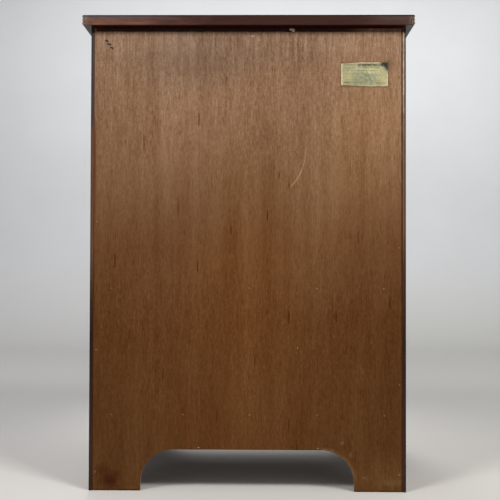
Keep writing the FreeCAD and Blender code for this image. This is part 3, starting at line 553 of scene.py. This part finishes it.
def front_finish(m, col, r, h):
    # cock beads are darker; their noses are lighter, partly rubbed wear and partly a painted highlight
    bead = m.rng(m.y, -0.1982, -0.1977, 1.0, 0.0)
    col = m.mix(m.times(bead, 0.35), col, rgb(58, 26, 16))
    nose = m.rng(m.y, -0.19935, -0.1990, 1.0, 0.0)
    col = m.mix(m.times(nose, 0.60), col, rgb(158, 98, 66))
    # the inside of the board is bare
    inside = m.times(m.rng(m.y, -0.1800, -0.1796), m.rng(m.ny, 0.4, 0.6))
    col = m.mix(m.times(inside, 0.80), col, rgb(150, 98, 62))
    # hands darken the field round the knobs
    hand = m.low(m.spot(0.125, 0.0, 0.022, 1.0, soft=0.7), 1.0)
    hand = m.top(hand, m.spot(-0.125, 0.0, 0.022, 1.0, soft=0.7))
    col = m.dim(col, m.mad(hand, -0.10, 1.0))
    return col, r, h


def dusty(strength, colour):
    """Dust that lies on faces that look up."""
    def f(m, col, r, h):
        n = m.noise(m.vec(m.times(m.x, 30.0), m.times(m.y, 30.0), m.times(m.z, 30.0)), detail=4, rough=0.6)
        up = m.times(m.rng(m.nz, 0.4, 0.9), m.rng(n, 0.35, 0.7, 0.2, 1.0))
        return m.mix(m.times(up, strength), col, colour), m.plus(r, m.times(up, 0.15)), h
    return f


def dark_under(strength, colour):
    """Dust on top; the underside, close to the floor, is dark with age."""
    dust = dusty(strength, colour)
    def f(m, col, r, h):
        col, r, h = dust(m, col, r, h)
        under = m.times(m.rng(m.nz, -0.4, -0.9), m.rng(m.z, 0.20, 0.15))
        return m.mix(m.times(under, 0.85), col, rgb(58, 40, 28)), r, h
    return f


def is_back_board(m):
    return m.times(m.rng(m.y, Y_REAR_IN - 0.0002, Y_REAR_IN + 0.0001), m.rng(m.absv(m.x), XI - 0.0001, XI + 0.0002, 1.0, 0.0))


def is_cross_strip(m):
    """Divider strips that run front to back have broad faces that look along x."""
    return m.rng(m.absv(m.nx), 0.5, 0.6)


def brass():
    m = Mat("aged_brass")
    n = m.noise(m.P, detail=5, rough=0.65, scale=220.0)
    n2 = m.noise(m.P, detail=3, rough=0.6, scale=60.0)
    tarn = m.rng(m.mad(n, 0.5, m.times(n2, 0.5)), 0.40, 0.66, smooth=True)
    col = m.mix(tarn, rgb(206, 166, 94), rgb(142, 106, 54))
    # the neck and the base keep their tarnish, the crown is handled bright
    neck = m.rng(m.y, -0.2120, -0.2060, 0.0, 1.0, smooth=True)
    col = m.mix(m.times(neck, 0.55), col, rgb(88, 62, 30))
    turn = m.noise(m.vec(0.0, m.times(m.y, 2600.0), 0.0), detail=2, rough=0.5)
    m.set(Base_Color=col, Roughness=m.rng(m.mad(neck, 0.3, tarn), 0.0, 1.0, 0.20, 0.44))
    m.b.inputs["Metallic"].default_value = 1.0
    m.set(Normal=m.bump(m.mad(turn, 0.5, m.times(n, 0.4)), 0.12, 0.0002))
    return m.mat


def steel(name, base, rust, rough, metal=1.0):
    m = Mat(name)
    n = m.noise(m.P, detail=4, rough=0.65, scale=900.0)
    n2 = m.noise(m.P, detail=3, rough=0.6, scale=130.0)
    f = m.rng(m.mad(n, 0.5, m.times(n2, 0.5)), 0.44, 0.60, smooth=True)
    m.set(Base_Color=m.mix(f, base, rust), Roughness=m.rng(f, 0.0, 1.0, rough, rough + 0.25))
    m.b.inputs["Metallic"].default_value = metal
    m.set(Normal=m.bump(n, 0.2, 0.0002))
    return m.mat


def wadding_mat():
    m = Mat("cotton_wadding")
    n1 = m.noise(m.P, detail=5, rough=0.7, scale=420.0, dist=0.8)
    n2 = m.noise(m.P, detail=3, rough=0.6, scale=38.0)
    wis = m.noise(m.vec(m.times(m.x, 900.0), m.times(m.y, 900.0), m.times(m.z, 900.0)), detail=2, rough=0.6, dist=2.2)
    tone = m.mad(n1, 0.5, m.mad(n2, 0.35, m.times(wis, 0.15)))
    col = m.ramp(tone, [(0.30, rgb(214, 204, 184)), (0.5, rgb(236, 230, 216)), (0.72, rgb(248, 245, 236))])
    # yellowed where it has lain against the wood
    edge = m.rng(m.top(m.absv(m.x), 0.0), XI - 0.012, XI - 0.001, 0.0, 0.4, smooth=True)
    col = m.mix(edge, col, rgb(190, 164, 120))
    m.set(Base_Color=col, Roughness=m.rng(n1, 0.2, 0.8, 0.86, 0.98))
    m.b.inputs["Sheen Weight"].default_value = 0.35
    m.b.inputs["Sheen Roughness"].default_value = 0.6
    m.b.inputs["Specular IOR Level"].default_value = 0.15
    m.set(Normal=m.bump(m.mad(n1, 0.6, m.times(wis, 0.6)), 0.8, 0.0012))
    return m.mat


def label_mat(x0, x1, z0, z1):
    """Old gummed paper: pale at the rim, browned and rubbed inside, ruled for a note that is gone."""
    m = Mat("aged_paper")
    w, hgt = x1 - x0, z1 - z0
    u = m.times(m.minus(x1, m.x), 1.0 / w)      # 0 at the left as it is read from behind
    v = m.times(m.minus(m.z, z0), 1.0 / hgt)
    n1 = m.noise(m.vec(m.times(m.x, 60.0), 0.0, m.times(m.z, 60.0)), detail=5, rough=0.65)
    n2 = m.noise(m.vec(m.times(m.x, 700.0), 0.0, m.times(m.z, 700.0)), detail=3, rough=0.6)
    n5 = m.noise(m.vec(m.times(m.x, 160.0), 4.0, m.times(m.z, 260.0)), detail=3, rough=0.6)
    n7 = m.noise(m.vec(m.times(m.x, 420.0), 1.0, m.times(m.z, 560.0)), detail=3, rough=0.65)
    col = m.ramp(m.mad(m.minus(n7, 0.5), 0.75, n1), [(0.26, rgb(134, 130, 98)), (0.50, rgb(170, 165, 126)), (0.76, rgb(206, 200, 156))])
    # brighter gum-yellow sheets of tone, and scuffs that slant through the middle
    glow = m.top(m.spot(0.62, 0.70, 0.17, 0.14, soft=0.8, wob=n5, wob_amt=0.5, u=u, v=v), m.top(m.spot(0.90, 0.28, 0.14, 0.30, soft=0.8, wob=n5, wob_amt=0.5, u=u, v=v),
                                                                                            m.spot(0.16, 0.36, 0.14, 0.22, soft=0.8, wob=n5, wob_amt=0.5, u=u, v=v)))
    col = m.mix(m.times(glow, m.rng(n5, 0.30, 0.60, 0.10, 0.75)), col, rgb(214, 204, 138))
    slant = m.noise(m.vec(m.mad(u, 46.0, m.times(v, 20.0)), 6.0, m.times(v, 4.0)), detail=2, rough=0.5)
    scuff = m.times(m.spot(0.60, 0.52, 0.27, 0.34, soft=0.6, u=u, v=v), m.rng(slant, 0.50, 0.62, smooth=True))
    col = m.mix(m.times(scuff, 0.75), col, rgb(226, 220, 184))
    # pale rim
    du = m.low(u, m.minus(1.0, u))
    dv = m.low(v, m.minus(1.0, v))
    d = m.low(m.times(du, w), m.times(dv, hgt))
    rim = m.rng(m.mad(n1, 0.0010, d), 0.0012, 0.0030, 1.0, 0.0, smooth=True)
    rim = m.top(rim, m.rng(m.mad(n1, 0.0010, m.times(u, w)), 0.0012, 0.0030, 1.0, 0.0, smooth=True))
    col = m.mix(m.times(rim, m.rng(n7, 0.36, 0.58, 0.25, 0.95)), col, rgb(240, 226, 182))
    # faint rules and worn print, none of it legible
    rules = None
    for v0, ua, ub, t, k in ((0.665, 0.04, 0.78, 0.016, 0.8), (0.91, 0.05, 0.25, 0.020, 0.5), (0.76, 0.05, 0.27, 0.020, 0.5),
                             (0.55, 0.05, 0.40, 0.016, 0.4), (0.48, 0.08, 0.92, 0.014, 0.4), (0.41, 0.05, 0.42, 0.016, 0.4),
                             (0.18, 0.06, 0.20, 0.028, 1.0), (0.17, 0.22, 0.46, 0.018, 0.6), (0.15, 0.74, 0.96, 0.024, 0.7),
                             (0.30, 0.08, 0.40, 0.014, 0.4), (0.79, 0.35, 0.82, 0.022, 0.8)):
        r = m.times(m.rng(m.absv(m.minus(v, v0)), t * 0.6, t * 1.8, 1.0, 0.0),
                    m.times(m.rng(u, ua - 0.01, ua + 0.01), m.rng(u, ub - 0.01, ub + 0.01, k, 0.0)))
        rules = r if rules is None else m.top(rules, r)
    rules = m.times(rules, m.rng(n5, 0.36, 0.58, 0.25, 0.95))
    col = m.mix(m.times(rules, 0.72), col, rgb(82, 80, 44))
    # rubbed field, a grey-green bloom
    bloom = m.times(m.spot(0.48, 0.36, 0.30, 0.32, soft=0.6, wob=n1, wob_amt=0.6, u=u, v=v), m.rng(n5, 0.36, 0.62, 0.20, 1.0))
    col = m.mix(m.times(bloom, 0.70), col, rgb(118, 130, 104))
    # a plain dark bar at the head and soot at the corner
    lumps = m.noise(m.vec(m.times(u, 17.0), 2.0, m.times(v, 7.0)), detail=4, rough=0.7)
    head = m.times(m.rng(m.absv(m.minus(v, 0.895)), 0.045, 0.070, 1.0, 0.0), m.times(m.rng(u, 0.335, 0.350), m.rng(u, 0.90, 0.92, 1.0, 0.0)))
    head = m.times(head, m.rng(lumps, 0.38, 0.58, 0.22, 0.95))
    sm = m.rng(m.plus(m.mad(m.minus(1.0, u), 5.2, m.times(m.minus(1.0, v), 2.3)), m.times(m.minus(n5, 0.5), 0.9)), 0.62, 1.22, 1.0, 0.0, smooth=True)
    col = m.mix(m.times(head, 0.82), col, rgb(34, 36, 34))
    col = m.mix(m.times(sm, 0.95), col, rgb(15, 13, 10))
    col = m.dim(col, m.rng(n2, 0.3, 0.7, 0.90, 1.08))
    m.set(Base_Color=col, Roughness=m.rng(n1, 0.3, 0.7, 0.55, 0.75), Specular_IOR_Level=0.35)
    m.set(Normal=m.bump(m.mad(n2, 0.3, m.times(n1, 1.0)), 0.35, 0.0006))
    return m.mat


def glue_mat():
    m = Mat("old_glue")
    n = m.noise(m.P, detail=4, rough=0.6, scale=900.0)
    m.set(Base_Color=m.ramp(n, [(0.3, rgb(128, 104, 88)), (0.6, rgb(172, 150, 132)), (0.8, rgb(198, 184, 168))]),
          Roughness=m.rng(n, 0.3, 0.7, 0.35, 0.6))
    m.set(Normal=m.bump(n, 0.4, 0.0004))
    return m.mat


def stage_mat():
    m = Mat("studio_paper")
    n = m.noise(m.P, detail=4, rough=0.6, scale=3.0)
    n2 = m.noise(m.P, detail=3, rough=0.6, scale=160.0)
    col = m.ramp(n, [(0.3, (0.740, 0.740, 0.737, 1)), (0.7, (0.770, 0.770, 0.767, 1))])
    col = m.mix(m.rng(m.z, 0.45, 0.0, 0.0, 1.0, smooth=True), col, m.mix(m.rng(m.x, 0.6, -0.6), (0.755, 0.742, 0.722, 1), (0.755, 0.745, 0.700, 1)))
    m.set(Base_Color=col,
          Roughness=m.rng(n2, 0.3, 0.7, 0.72, 0.82), Specular_IOR_Level=0.25)
    return m.mat


# ------------------------------------------------------------------ materials on the CAD nodes
def paint(node, mat):
    o = NODES[node]
    o.data.materials.clear()
    o.data.materials.append(mat)


top_mat = wood("mahogany_top", "x", MAHOGANY, rough=(0.27, 0.38), spec=0.22, pith=(0.07, 0.70),
               tilt=(0.05, 0.012), rings=150.0, ring_amt=0.35, band_amt=0.5, finish=top_finish)
side_kw = dict(rough=(0.30, 0.42), spec=0.22, rings=170.0, ring_amt=0.30, band_amt=0.5)
side_l_mat = wood("mahogany_side_a", "z", MAHOGANY_RED, pith=(-0.38, 0.06), tilt=(0.01, 0.05), finish=side_finish(True), **side_kw)
side_r_mat = wood("mahogany_side_b", "z", MAHOGANY_RED, pith=(0.40, -0.03), tilt=(0.01, -0.06), shift=2.3,
                  finish=side_finish(False), **side_kw)
rail_mat = wood("mahogany_rails", "x", MAHOGANY_RED, rough=(0.30, 0.42), pith=(-0.30, 0.10),
                tilt=(0.0, 0.06), rings=160.0)
paint("top_board", top_mat)
paint("side_left", side_l_mat)
paint("side_right", side_r_mat)
for n in ("mid_rail", "front_apron", "top_rail_front"):
    paint(n, rail_mat)
paint("back_panel", ply_back())

board_mat = wood("pine_boards", "x", (rgb(104, 82, 60), rgb(138, 114, 86), rgb(164, 140, 110)), rough=(0.6, 0.75), bump=0.3,
                 pith=(0.02, -0.2), tilt=(0.05, 0.01), rings=130.0, ring_amt=0.7, band_amt=0.2, streak_amt=0.15, fibre_amt=0.15,
                 pore_dark=0.12, end_dark=0.75, finish=dark_under(0.25, rgb(150, 142, 130)))
for n in ("bottom_board", "mid_board"):
    paint(n, board_mat)
paint("top_rail_back", wood("stained_rail", "x", (rgb(26, 12, 8), rgb(42, 20, 13), rgb(60, 32, 20)), rough=(0.55, 0.7), bump=0.3,
                            pith=(0.1, 0.3), rings=140.0))
block_mat = wood("pine_blocks", "x", (rgb(156, 112, 70), rgb(194, 150, 100), rgb(216, 180, 132)), rough=(0.62, 0.78), bump=0.3,
                 pith=(0.15, 0.03), tilt=(0.05, 0.04), rings=150.0, ring_amt=0.7, band_amt=0.2, streak_amt=0.15, fibre_amt=0.2,
                 pore_dark=0.1, end_dark=0.8, finish=dusty(0.2, rgb(150, 142, 130)))
paint("glue_blocks", block_mat)
foot_mat = wood("pine_feet", "z", (rgb(156, 112, 70), rgb(194, 150, 100), rgb(216, 180, 132)), rough=(0.62, 0.78), bump=0.3,
                pith=(0.35, 0.03), tilt=(0.05, 0.04), rings=150.0, ring_amt=0.7, band_amt=0.2, streak_amt=0.15, fibre_amt=0.2,
                pore_dark=0.1, end_dark=0.8, finish=dusty(0.2, rgb(150, 142, 130)))
paint("foot_blocks", foot_mat)
beech_mat = wood("beech_runners", "y", (rgb(168, 112, 76), rgb(196, 142, 102), rgb(216, 168, 128)), rough=(0.38, 0.5),
                 pith=(0.4, 0.1), tilt=(0.02, 0.02), rings=220.0, ring_amt=0.25, band_amt=0.3, pore_dark=0.3, end_dark=0.8)
for n in ("runners_left", "runners_right"):
    paint(n, beech_mat)
paint("back_panel_pins", steel("pin_steel", rgb(132, 104, 72), rgb(74, 52, 32), 0.55, metal=0.2))
screw_mat = steel("screw_steel", rgb(150, 146, 140), rgb(96, 78, 62), 0.35)
paint("runner_screws", screw_mat)
paint("top_screws", screw_mat)

brass_mat = brass()
box_mat = wood("drawer_oak", "y", (rgb(136, 98, 58), rgb(178, 136, 88), rgb(204, 166, 116)), rough=(0.46, 0.60),
               pith=(0.5, 0.2), tilt=(0.03, 0.05), rings=170.0, ring_amt=0.45, band_amt=0.25, streak_amt=0.3, fibre_amt=0.3,
               pore_dark=0.35, end_dark=0.72, two=(is_back_board, "x"), finish=dusty(0.18, rgb(168, 158, 142)))
bottom_mat = wood("birch_ply", "x", (rgb(188, 150, 104), rgb(208, 174, 128), rgb(224, 196, 154)), rough=(0.5, 0.62),
                  pith=(0.1, -0.6), tilt=(0.10, 0.01), rings=90.0, ring_amt=0.5, band_amt=0.2, streak_amt=0.2, fibre_amt=0.15,
                  pore_dark=0.15, end_dark=0.7)
strip_mat = wood("divider_lime", "x", (rgb(150, 104, 62), rgb(184, 138, 90), rgb(206, 164, 116)), rough=(0.48, 0.62),
                 pith=(0.3, 0.5), tilt=(0.02, 0.02), rings=200.0, ring_amt=0.2, band_amt=0.3, streak_amt=0.35, fibre_amt=0.3,
                 pore_dark=0.25, end_dark=0.75, two=(is_cross_strip, "y"))
wad_mat = wadding_mat()
for k in range(1, 8):
    fmat = wood("mahogany_front_%d" % k, "x", MAHOGANY_RED, rough=(0.28, 0.40),
                pith=(-0.30, 0.08 * k), tilt=(0.02, 0.10 if k % 2 else -0.08), rings=120.0, ring_amt=0.24, band_amt=0.50,
                streak_amt=0.3, fibre_amt=0.24, shift=0.61 * k, figure=0.34, figure_scale=20.0, finish=front_finish)
    paint("drawer_%d_front" % k, fmat)
    paint("drawer_%d_box" % k, box_mat)
    paint("drawer_%d_bottom" % k, bottom_mat)
    paint("drawer_%d_dividers" % k, strip_mat)
    paint("drawer_%d_knobs" % k, brass_mat)
    paint("drawer_%d_wadding" % k, wad_mat)
lb0, lb1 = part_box("paper_label")
paint("paper_label", label_mat(lb0.x, lb1.x, lb0.z, lb1.z))


# ------------------------------------------------------------------ eased arrises on the joinery
def ease(node, width, segments=2, angle=50.0):
    o = NODES[node]
    w = o.modifiers.new("weld", "WELD")
    w.merge_threshold = 0.00002
    b = o.modifiers.new("arris", "BEVEL")
    b.limit_method = "ANGLE"
    b.angle_limit = math.radians(angle)
    b.width = width
    b.segments = segments
    b.use_clamp_overlap = True
    b.harden_normals = True
    b.loop_slide = False


for n, wdt in (("top_board", 0.0006), ("side_left", 0.0008), ("side_right", 0.0008), ("front_apron", 0.0008), ("mid_rail", 0.0005),
               ("top_rail_front", 0.0005), ("bottom_board", 0.0005), ("mid_board", 0.0005), ("foot_blocks", 0.0008),
               ("glue_blocks", 0.0008), ("runners_left", 0.0005), ("runners_right", 0.0005), ("back_panel", 0.00025)):
    ease(n, wdt)
for k in range(1, 8):
    ease("drawer_%d_box" % k, 0.0006)
    ease("drawer_%d_dividers" % k, 0.0003)


def mesh_object(name, verts, faces, mat, body, smooth=True):
    me = bpy.data.meshes.new(name)
    me.from_pydata([tuple(map(float, v)) for v in verts], [], faces)
    me.validate()
    me.update()
    me.materials.append(mat)
    o = bpy.data.objects.new(name, me)
    SCENE.collection.objects.link(o)
    for p in me.polygons:
        p.use_smooth = smooth
    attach(o, body)
    return o


# ------------------------------------------------------------------ wadding in the drawers
def wadding(k):
    """Sheet of cotton wadding, pressed down by the strips and dished where each egg has lain."""
    name = "drawer_%d_wadding" % k
    lo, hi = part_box(name)
    nx, ny = CELLS[k - 1]
    rnd = random.Random(100 + k)
    xs_s = [-XI + 2 * XI * (i + 1) / nx for i in range(nx - 1)]
    ys_s = [Y_IN + (Y_REAR_IN - Y_IN) * (j + 1) / ny for j in range(ny - 1)]

    def stations(a, b, strips, n):
        cuts = [a] + list(strips) + [b]
        pts = []
        half = STRIP_T / 2 + 0.00035
        for i in range(len(cuts) - 1):
            p = cuts[i] + (half if i else 0.0)
            q = cuts[i + 1] - (half if i < len(cuts) - 2 else 0.0)
            for t in range(n + 1):
                s = 0.5 - 0.5 * math.cos(math.pi * t / n)
                pts.append(p + (q - p) * s)
        return pts

    n = 12
    gx = stations(lo.x, hi.x, xs_s, n)
    gy = stations(lo.y, hi.y, ys_s, n)
    X, Y = np.meshgrid(gx, gy, indexing="ij")
    bx = np.array([lo.x] + xs_s + [hi.x])
    by = np.array([lo.y] + ys_s + [hi.y])
    ci = np.clip(np.searchsorted(bx, X, side="right") - 1, 0, nx - 1)
    cj = np.clip(np.searchsorted(by, Y, side="right") - 1, 0, ny - 1)
    half = STRIP_T / 2
    x0 = bx[ci] + np.where(ci > 0, half, 0.0)
    x1 = bx[ci + 1] - np.where(ci < nx - 1, half, 0.0)
    y0 = by[cj] + np.where(cj > 0, half, 0.0)
    y1 = by[cj + 1] - np.where(cj < ny - 1, half, 0.0)
    d = np.minimum(np.minimum(X - x0, x1 - X), np.minimum(Y - y0, y1 - Y))
    d = np.maximum(d, 0.0)
    base = lo.z + 0.0017
    full = hi.z - lo.z - 0.0017
    rise = 1.0 - np.exp(-d / 0.0011)
    crown = 1.0 - np.exp(-d / 0.0055)
    h = full * (0.52 * rise + 0.46 * crown)
    # dished where an egg lay, each a little off centre and turned its own way
    off = {}
    for i in range(nx):
        for j in range(ny):
            off[i, j] = (rnd.uniform(-0.06, 0.06), rnd.uniform(-0.06, 0.06), rnd.uniform(-0.5, 0.5), rnd.uniform(0.65, 1.0))
    ox = np.vectorize(lambda i, j: off[i, j][0])(ci, cj)
    oy = np.vectorize(lambda i, j: off[i, j][1])(ci, cj)
    oa = np.vectorize(lambda i, j: off[i, j][2])(ci, cj)
    od = np.vectorize(lambda i, j: off[i, j][3])(ci, cj)
    cw, ch = (x1 - x0), (y1 - y0)
    cs = np.minimum(cw, ch)
    u = (X - (x0 + x1) / 2) / cs - ox
    v = (Y - (y0 + y1) / 2) / cs - oy
    ur, vr = u * np.cos(oa) - v * np.sin(oa), u * np.sin(oa) + v * np.cos(oa)
    r = np.sqrt((ur / 0.24) ** 2 + (vr / 0.31) ** 2)
    dish = np.clip(1.0 - r * r, 0.0, None) ** 0.8
    h = h - 0.0019 * od * dish * (d > 0) + 0.0004 * np.exp(-((r - 1.15) / 0.25) ** 2) * rise
    Z = base + h
    flat = np.stack([X, Y, Z], -1).reshape(-1, 3)
    for q in range(len(flat)):
        p = flat[q]
        fx = mnoise.noise(Vector((p[0] * 160, p[1] * 160, k * 3.1)))
        fy = mnoise.noise(Vector((p[0] * 420, p[1] * 420, k * 7.7)))
        w = min(1.0, max(0.0, (p[2] - base) / full))
        flat[q, 2] += (0.00042 * fx + 0.00026 * fy) * w - 0.0001
    flat[:, 2] = np.minimum(flat[:, 2], hi.z + 0.0006)
    nX, nY = X.shape
    verts = [tuple(v) for v in flat]
    idx = lambda a, b: a * nY + b
    faces = [(idx(a, b), idx(a + 1, b), idx(a + 1, b + 1), idx(a, b + 1)) for a in range(nX - 1) for b in range(nY - 1)]
    # walls and underside
    ring = [idx(a, 0) for a in range(nX)] + [idx(nX - 1, b) for b in range(1, nY)] + \
           [idx(a, nY - 1) for a in range(nX - 2, -1, -1)] + [idx(0, b) for b in range(nY - 2, 0, -1)]
    start = len(verts)
    zb = lo.z + 0.0001
    for q in ring:
        verts.append((flat[q, 0], flat[q, 1], zb))
    L = len(ring)
    for t in range(L):
        a, b = ring[t], ring[(t + 1) % L]
        faces.append((a, start + t, start + (t + 1) % L, b))
    centre = len(verts)
    verts.append(((lo.x + hi.x) / 2, (lo.y + hi.y) / 2, zb))
    for t in range(L):
        faces.append((start + t, centre, start + (t + 1) % L))
    o = mesh_object(name + "_quilt", verts, faces, wad_mat, "drawer_%d" % k)
    bm = bmesh.new()
    bm.from_mesh(o.data)
    bmesh.ops.recalc_face_normals(bm, faces=bm.faces)
    bm.to_mesh(o.data)
    bm.free()
    for p in o.data.polygons:
        p.use_smooth = True
    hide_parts(name)
    return o


for k in range(1, 8):
    wadding(k)


# ------------------------------------------------------------------ the label, and a drop of glue under the top
def label_sheet():
    """Thin paper with a soft, chipped outline, lifting a little at two corners."""
    lo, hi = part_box("paper_label")
    nu, nv = 72, 36
    rows = []
    for j in range(nv + 1):
        for i in range(nu + 1):
            a, b = i / nu, j / nv
            x = lo.x + (hi.x - lo.x) * a
            z = lo.z + (hi.z - lo.z) * b
            e = mnoise.noise(Vector((a * 23.0, b * 23.0, 1.7))) * 0.00030 + mnoise.noise(Vector((a * 7.0, b * 7.0, 9.1))) * 0.00035
            if i == 0:
                x += 0.0003 + abs(e)
            if i == nu:
                x += 0.0007 - abs(e)
            # trimmed out of square: lower at the top and higher at the foot towards one end
            z -= 0.0018 * max(0.0, (a - 0.60) / 0.40) * b
            z += (0.0003 + 0.0019 * max(0.0, (a - 0.45) / 0.55)) * (1.0 - b)
            if j == 0:
                z += 0.0004 + e
            if j == nv:
                z -= 0.0002 + abs(e)
            lift = 0.00055 * max(0.0, 1.0 - math.hypot(a / 0.16, b / 0.30)) ** 1.6
            lift += 0.00035 * max(0.0, 1.0 - math.hypot((1 - a) / 0.10, (1 - b) / 0.22)) ** 1.6
            rip = 0.00006 * (1.0 + mnoise.noise(Vector((a * 9.0, b * 5.0, 4.0))))
            rows.append((x, hi.y + lift + rip, z))
    verts = list(rows)
    n = len(rows)
    for x, y, z in rows:
        verts.append((x, max(lo.y + 0.00002, y - 0.00022), z))
    idx = lambda i, j: j * (nu + 1) + i
    faces = []
    for j in range(nv):
        for i in range(nu):
            q = (idx(i, j), idx(i, j + 1), idx(i + 1, j + 1), idx(i + 1, j))
            faces.append(q)
            faces.append(tuple(n + t for t in reversed(q)))
    ring = [idx(i, 0) for i in range(nu + 1)] + [idx(nu, j) for j in range(1, nv + 1)] + \
           [idx(i, nv) for i in range(nu - 1, -1, -1)] + [idx(0, j) for j in range(nv - 1, 0, -1)]
    for t in range(len(ring)):
        p, q = ring[t], ring[(t + 1) % len(ring)]
        faces.append((p, q, n + q, n + p))
    o = mesh_object("paper_label_sheet", verts, faces, label_mat(lo.x, hi.x, lo.z, hi.z), "case")
    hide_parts("paper_label")


def glue_drop():
    """Two lobes of old glue squeezed out between the top and the back."""
    bm = bmesh.new()
    for cx, cz, rx, ry, rz in ((-0.0694, 0.7412, 0.0031, 0.0016, 0.0021), (-0.0727, 0.7400, 0.0025, 0.0019, 0.0030)):
        b2 = bmesh.ops.create_icosphere(bm, subdivisions=3, radius=1.0)
        for v in b2["verts"]:
            k = 1.0 + 0.14 * mnoise.noise(v.co * 1.7 + Vector((cx * 900, 0, 0)))
            v.co = Vector((cx + v.co.x * rx * k, Y_PANEL + 0.0006 + v.co.y * ry * k, cz + v.co.z * rz * k))
            v.co.y = max(v.co.y, Y_PANEL + 0.00003)
    me = bpy.data.meshes.new("glue_drop")
    bm.to_mesh(me)
    bm.free()
    me.materials.append(glue_mat())
    for p in me.polygons:
        p.use_smooth = True
    o = bpy.data.objects.new("glue_drop", me)
    SCENE.collection.objects.link(o)
    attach(o, "case")


label_sheet()
glue_drop()


# ------------------------------------------------------------------ stage
def stage():
    prof = [(40.0, 0.0), (4.6, 0.0), (-2.25, 0.0)]
    r = 0.75
    for t in range(1, 17):
        a = math.pi / 2 * t / 16
        prof.append((-2.25 - r * math.sin(a), r - r * math.cos(a)))
    prof.append((-3.0, 4.2))
    w = 40.0
    verts, faces = [], []
    for y, z in prof:
        verts += [(-w, y, z), (w, y, z)]
    for i in range(len(prof) - 1):
        faces.append((2 * i, 2 * i + 1, 2 * i + 3, 2 * i + 2))
    me = bpy.data.meshes.new("backdrop")
    me.from_pydata(verts, [], faces)
    me.update()
    me.materials.append(stage_mat())
    for p in me.polygons:
        p.use_smooth = True
    o = bpy.data.objects.new("backdrop", me)
    SCENE.collection.objects.link(o)


stage()


def area(name, loc, aim, size, power, colour=(1, 1, 1), size_y=None, spread=180.0):
    d = bpy.data.lights.new(name, "AREA")
    d.shape = "RECTANGLE"
    d.size = size
    d.size_y = size_y or size
    d.energy = power
    d.color = colour
    d.spread = math.radians(spread)
    o = bpy.data.objects.new(name, d)
    SCENE.collection.objects.link(o)
    o.location = loc
    o.rotation_mode = "QUATERNION"
    o.rotation_quaternion = (Vector(aim) - Vector(loc)).to_track_quat("-Z", "Y")
    o.visible_camera = False
    return o


area("key_right", (-1.60, 1.95, 2.70), (0.0, 0.20, 0.30), 0.8, 18.0, (1.0, 0.97, 0.93), spread=110.0)
area("key_left", (1.60, 1.95, 2.70), (0.0, 0.20, 0.30), 0.8, 14.2, (1.0, 0.97, 0.93), spread=110.0)
area("wall_wash", (-0.28, -1.00, 2.10), (-0.24, -3.0, 1.35), 3.2, 11.4, (0.94, 0.97, 1.0), size_y=0.6, spread=80.0)
area("front_soft", (0.45, -1.70, 1.50), (0.0, -0.2, 0.42), 0.7, 0.6, (1.0, 0.98, 0.95), spread=60.0)
area("front_low", (0.18, -1.20, 0.52), (-0.03, -0.20, 0.0), 0.6, 0.50, (1.0, 1.0, 1.0), size_y=0.3, spread=46.0)

world = bpy.data.worlds.new("studio")
SCENE.world = world
world.use_nodes = True
bg = world.node_tree.nodes["Background"]
bg.inputs["Color"].default_value = (0.93, 0.95, 1.0, 1.0)
bg.inputs["Strength"].default_value = 0.40

# ------------------------------------------------------------------ camera
F_PX = 872.47
cam_d = bpy.data.cameras.new("camera")
cam_d.sensor_width = 36.0
cam_d.sensor_fit = "HORIZONTAL"
cam_d.lens = F_PX / 500.0 * 36.0
cam_d.clip_start = 0.05
cam_d.clip_end = 60.0
cam = bpy.data.objects.new("camera", cam_d)
SCENE.collection.objects.link(cam)
pitch, yaw, roll = math.radians(1.0796), math.radians(-0.8179), math.radians(-0.1719)
cy, sy, cp, sp, cr, sr = math.cos(yaw), math.sin(yaw), math.cos(pitch), math.sin(pitch), math.cos(roll), math.sin(roll)
rows = Matrix(((cr, -sr, 0), (sr, cr, 0), (0, 0, 1))) @ Matrix(((1, 0, 0), (0, cp, -sp), (0, sp, cp))) @ \
    Matrix(((cy, 0, -sy), (0, 1, 0), (sy, 0, cy))) @ Matrix(((-1, 0, 0), (0, 0, 1), (0, -1, 0)))
right, up, fwd = rows[0], rows[1], rows[2]
rot = Matrix((right, up, -fwd)).transposed()
cam.matrix_world = Matrix.Translation(Vector((-0.02380, 1.61224, 0.35924))) @ rot.to_4x4()
SCENE.camera = cam

SCENE.view_settings.view_transform = "Standard"
SCENE.view_settings.look = "None"
SCENE.view_settings.exposure = 0.0
SCENE.view_settings.gamma = 1.0
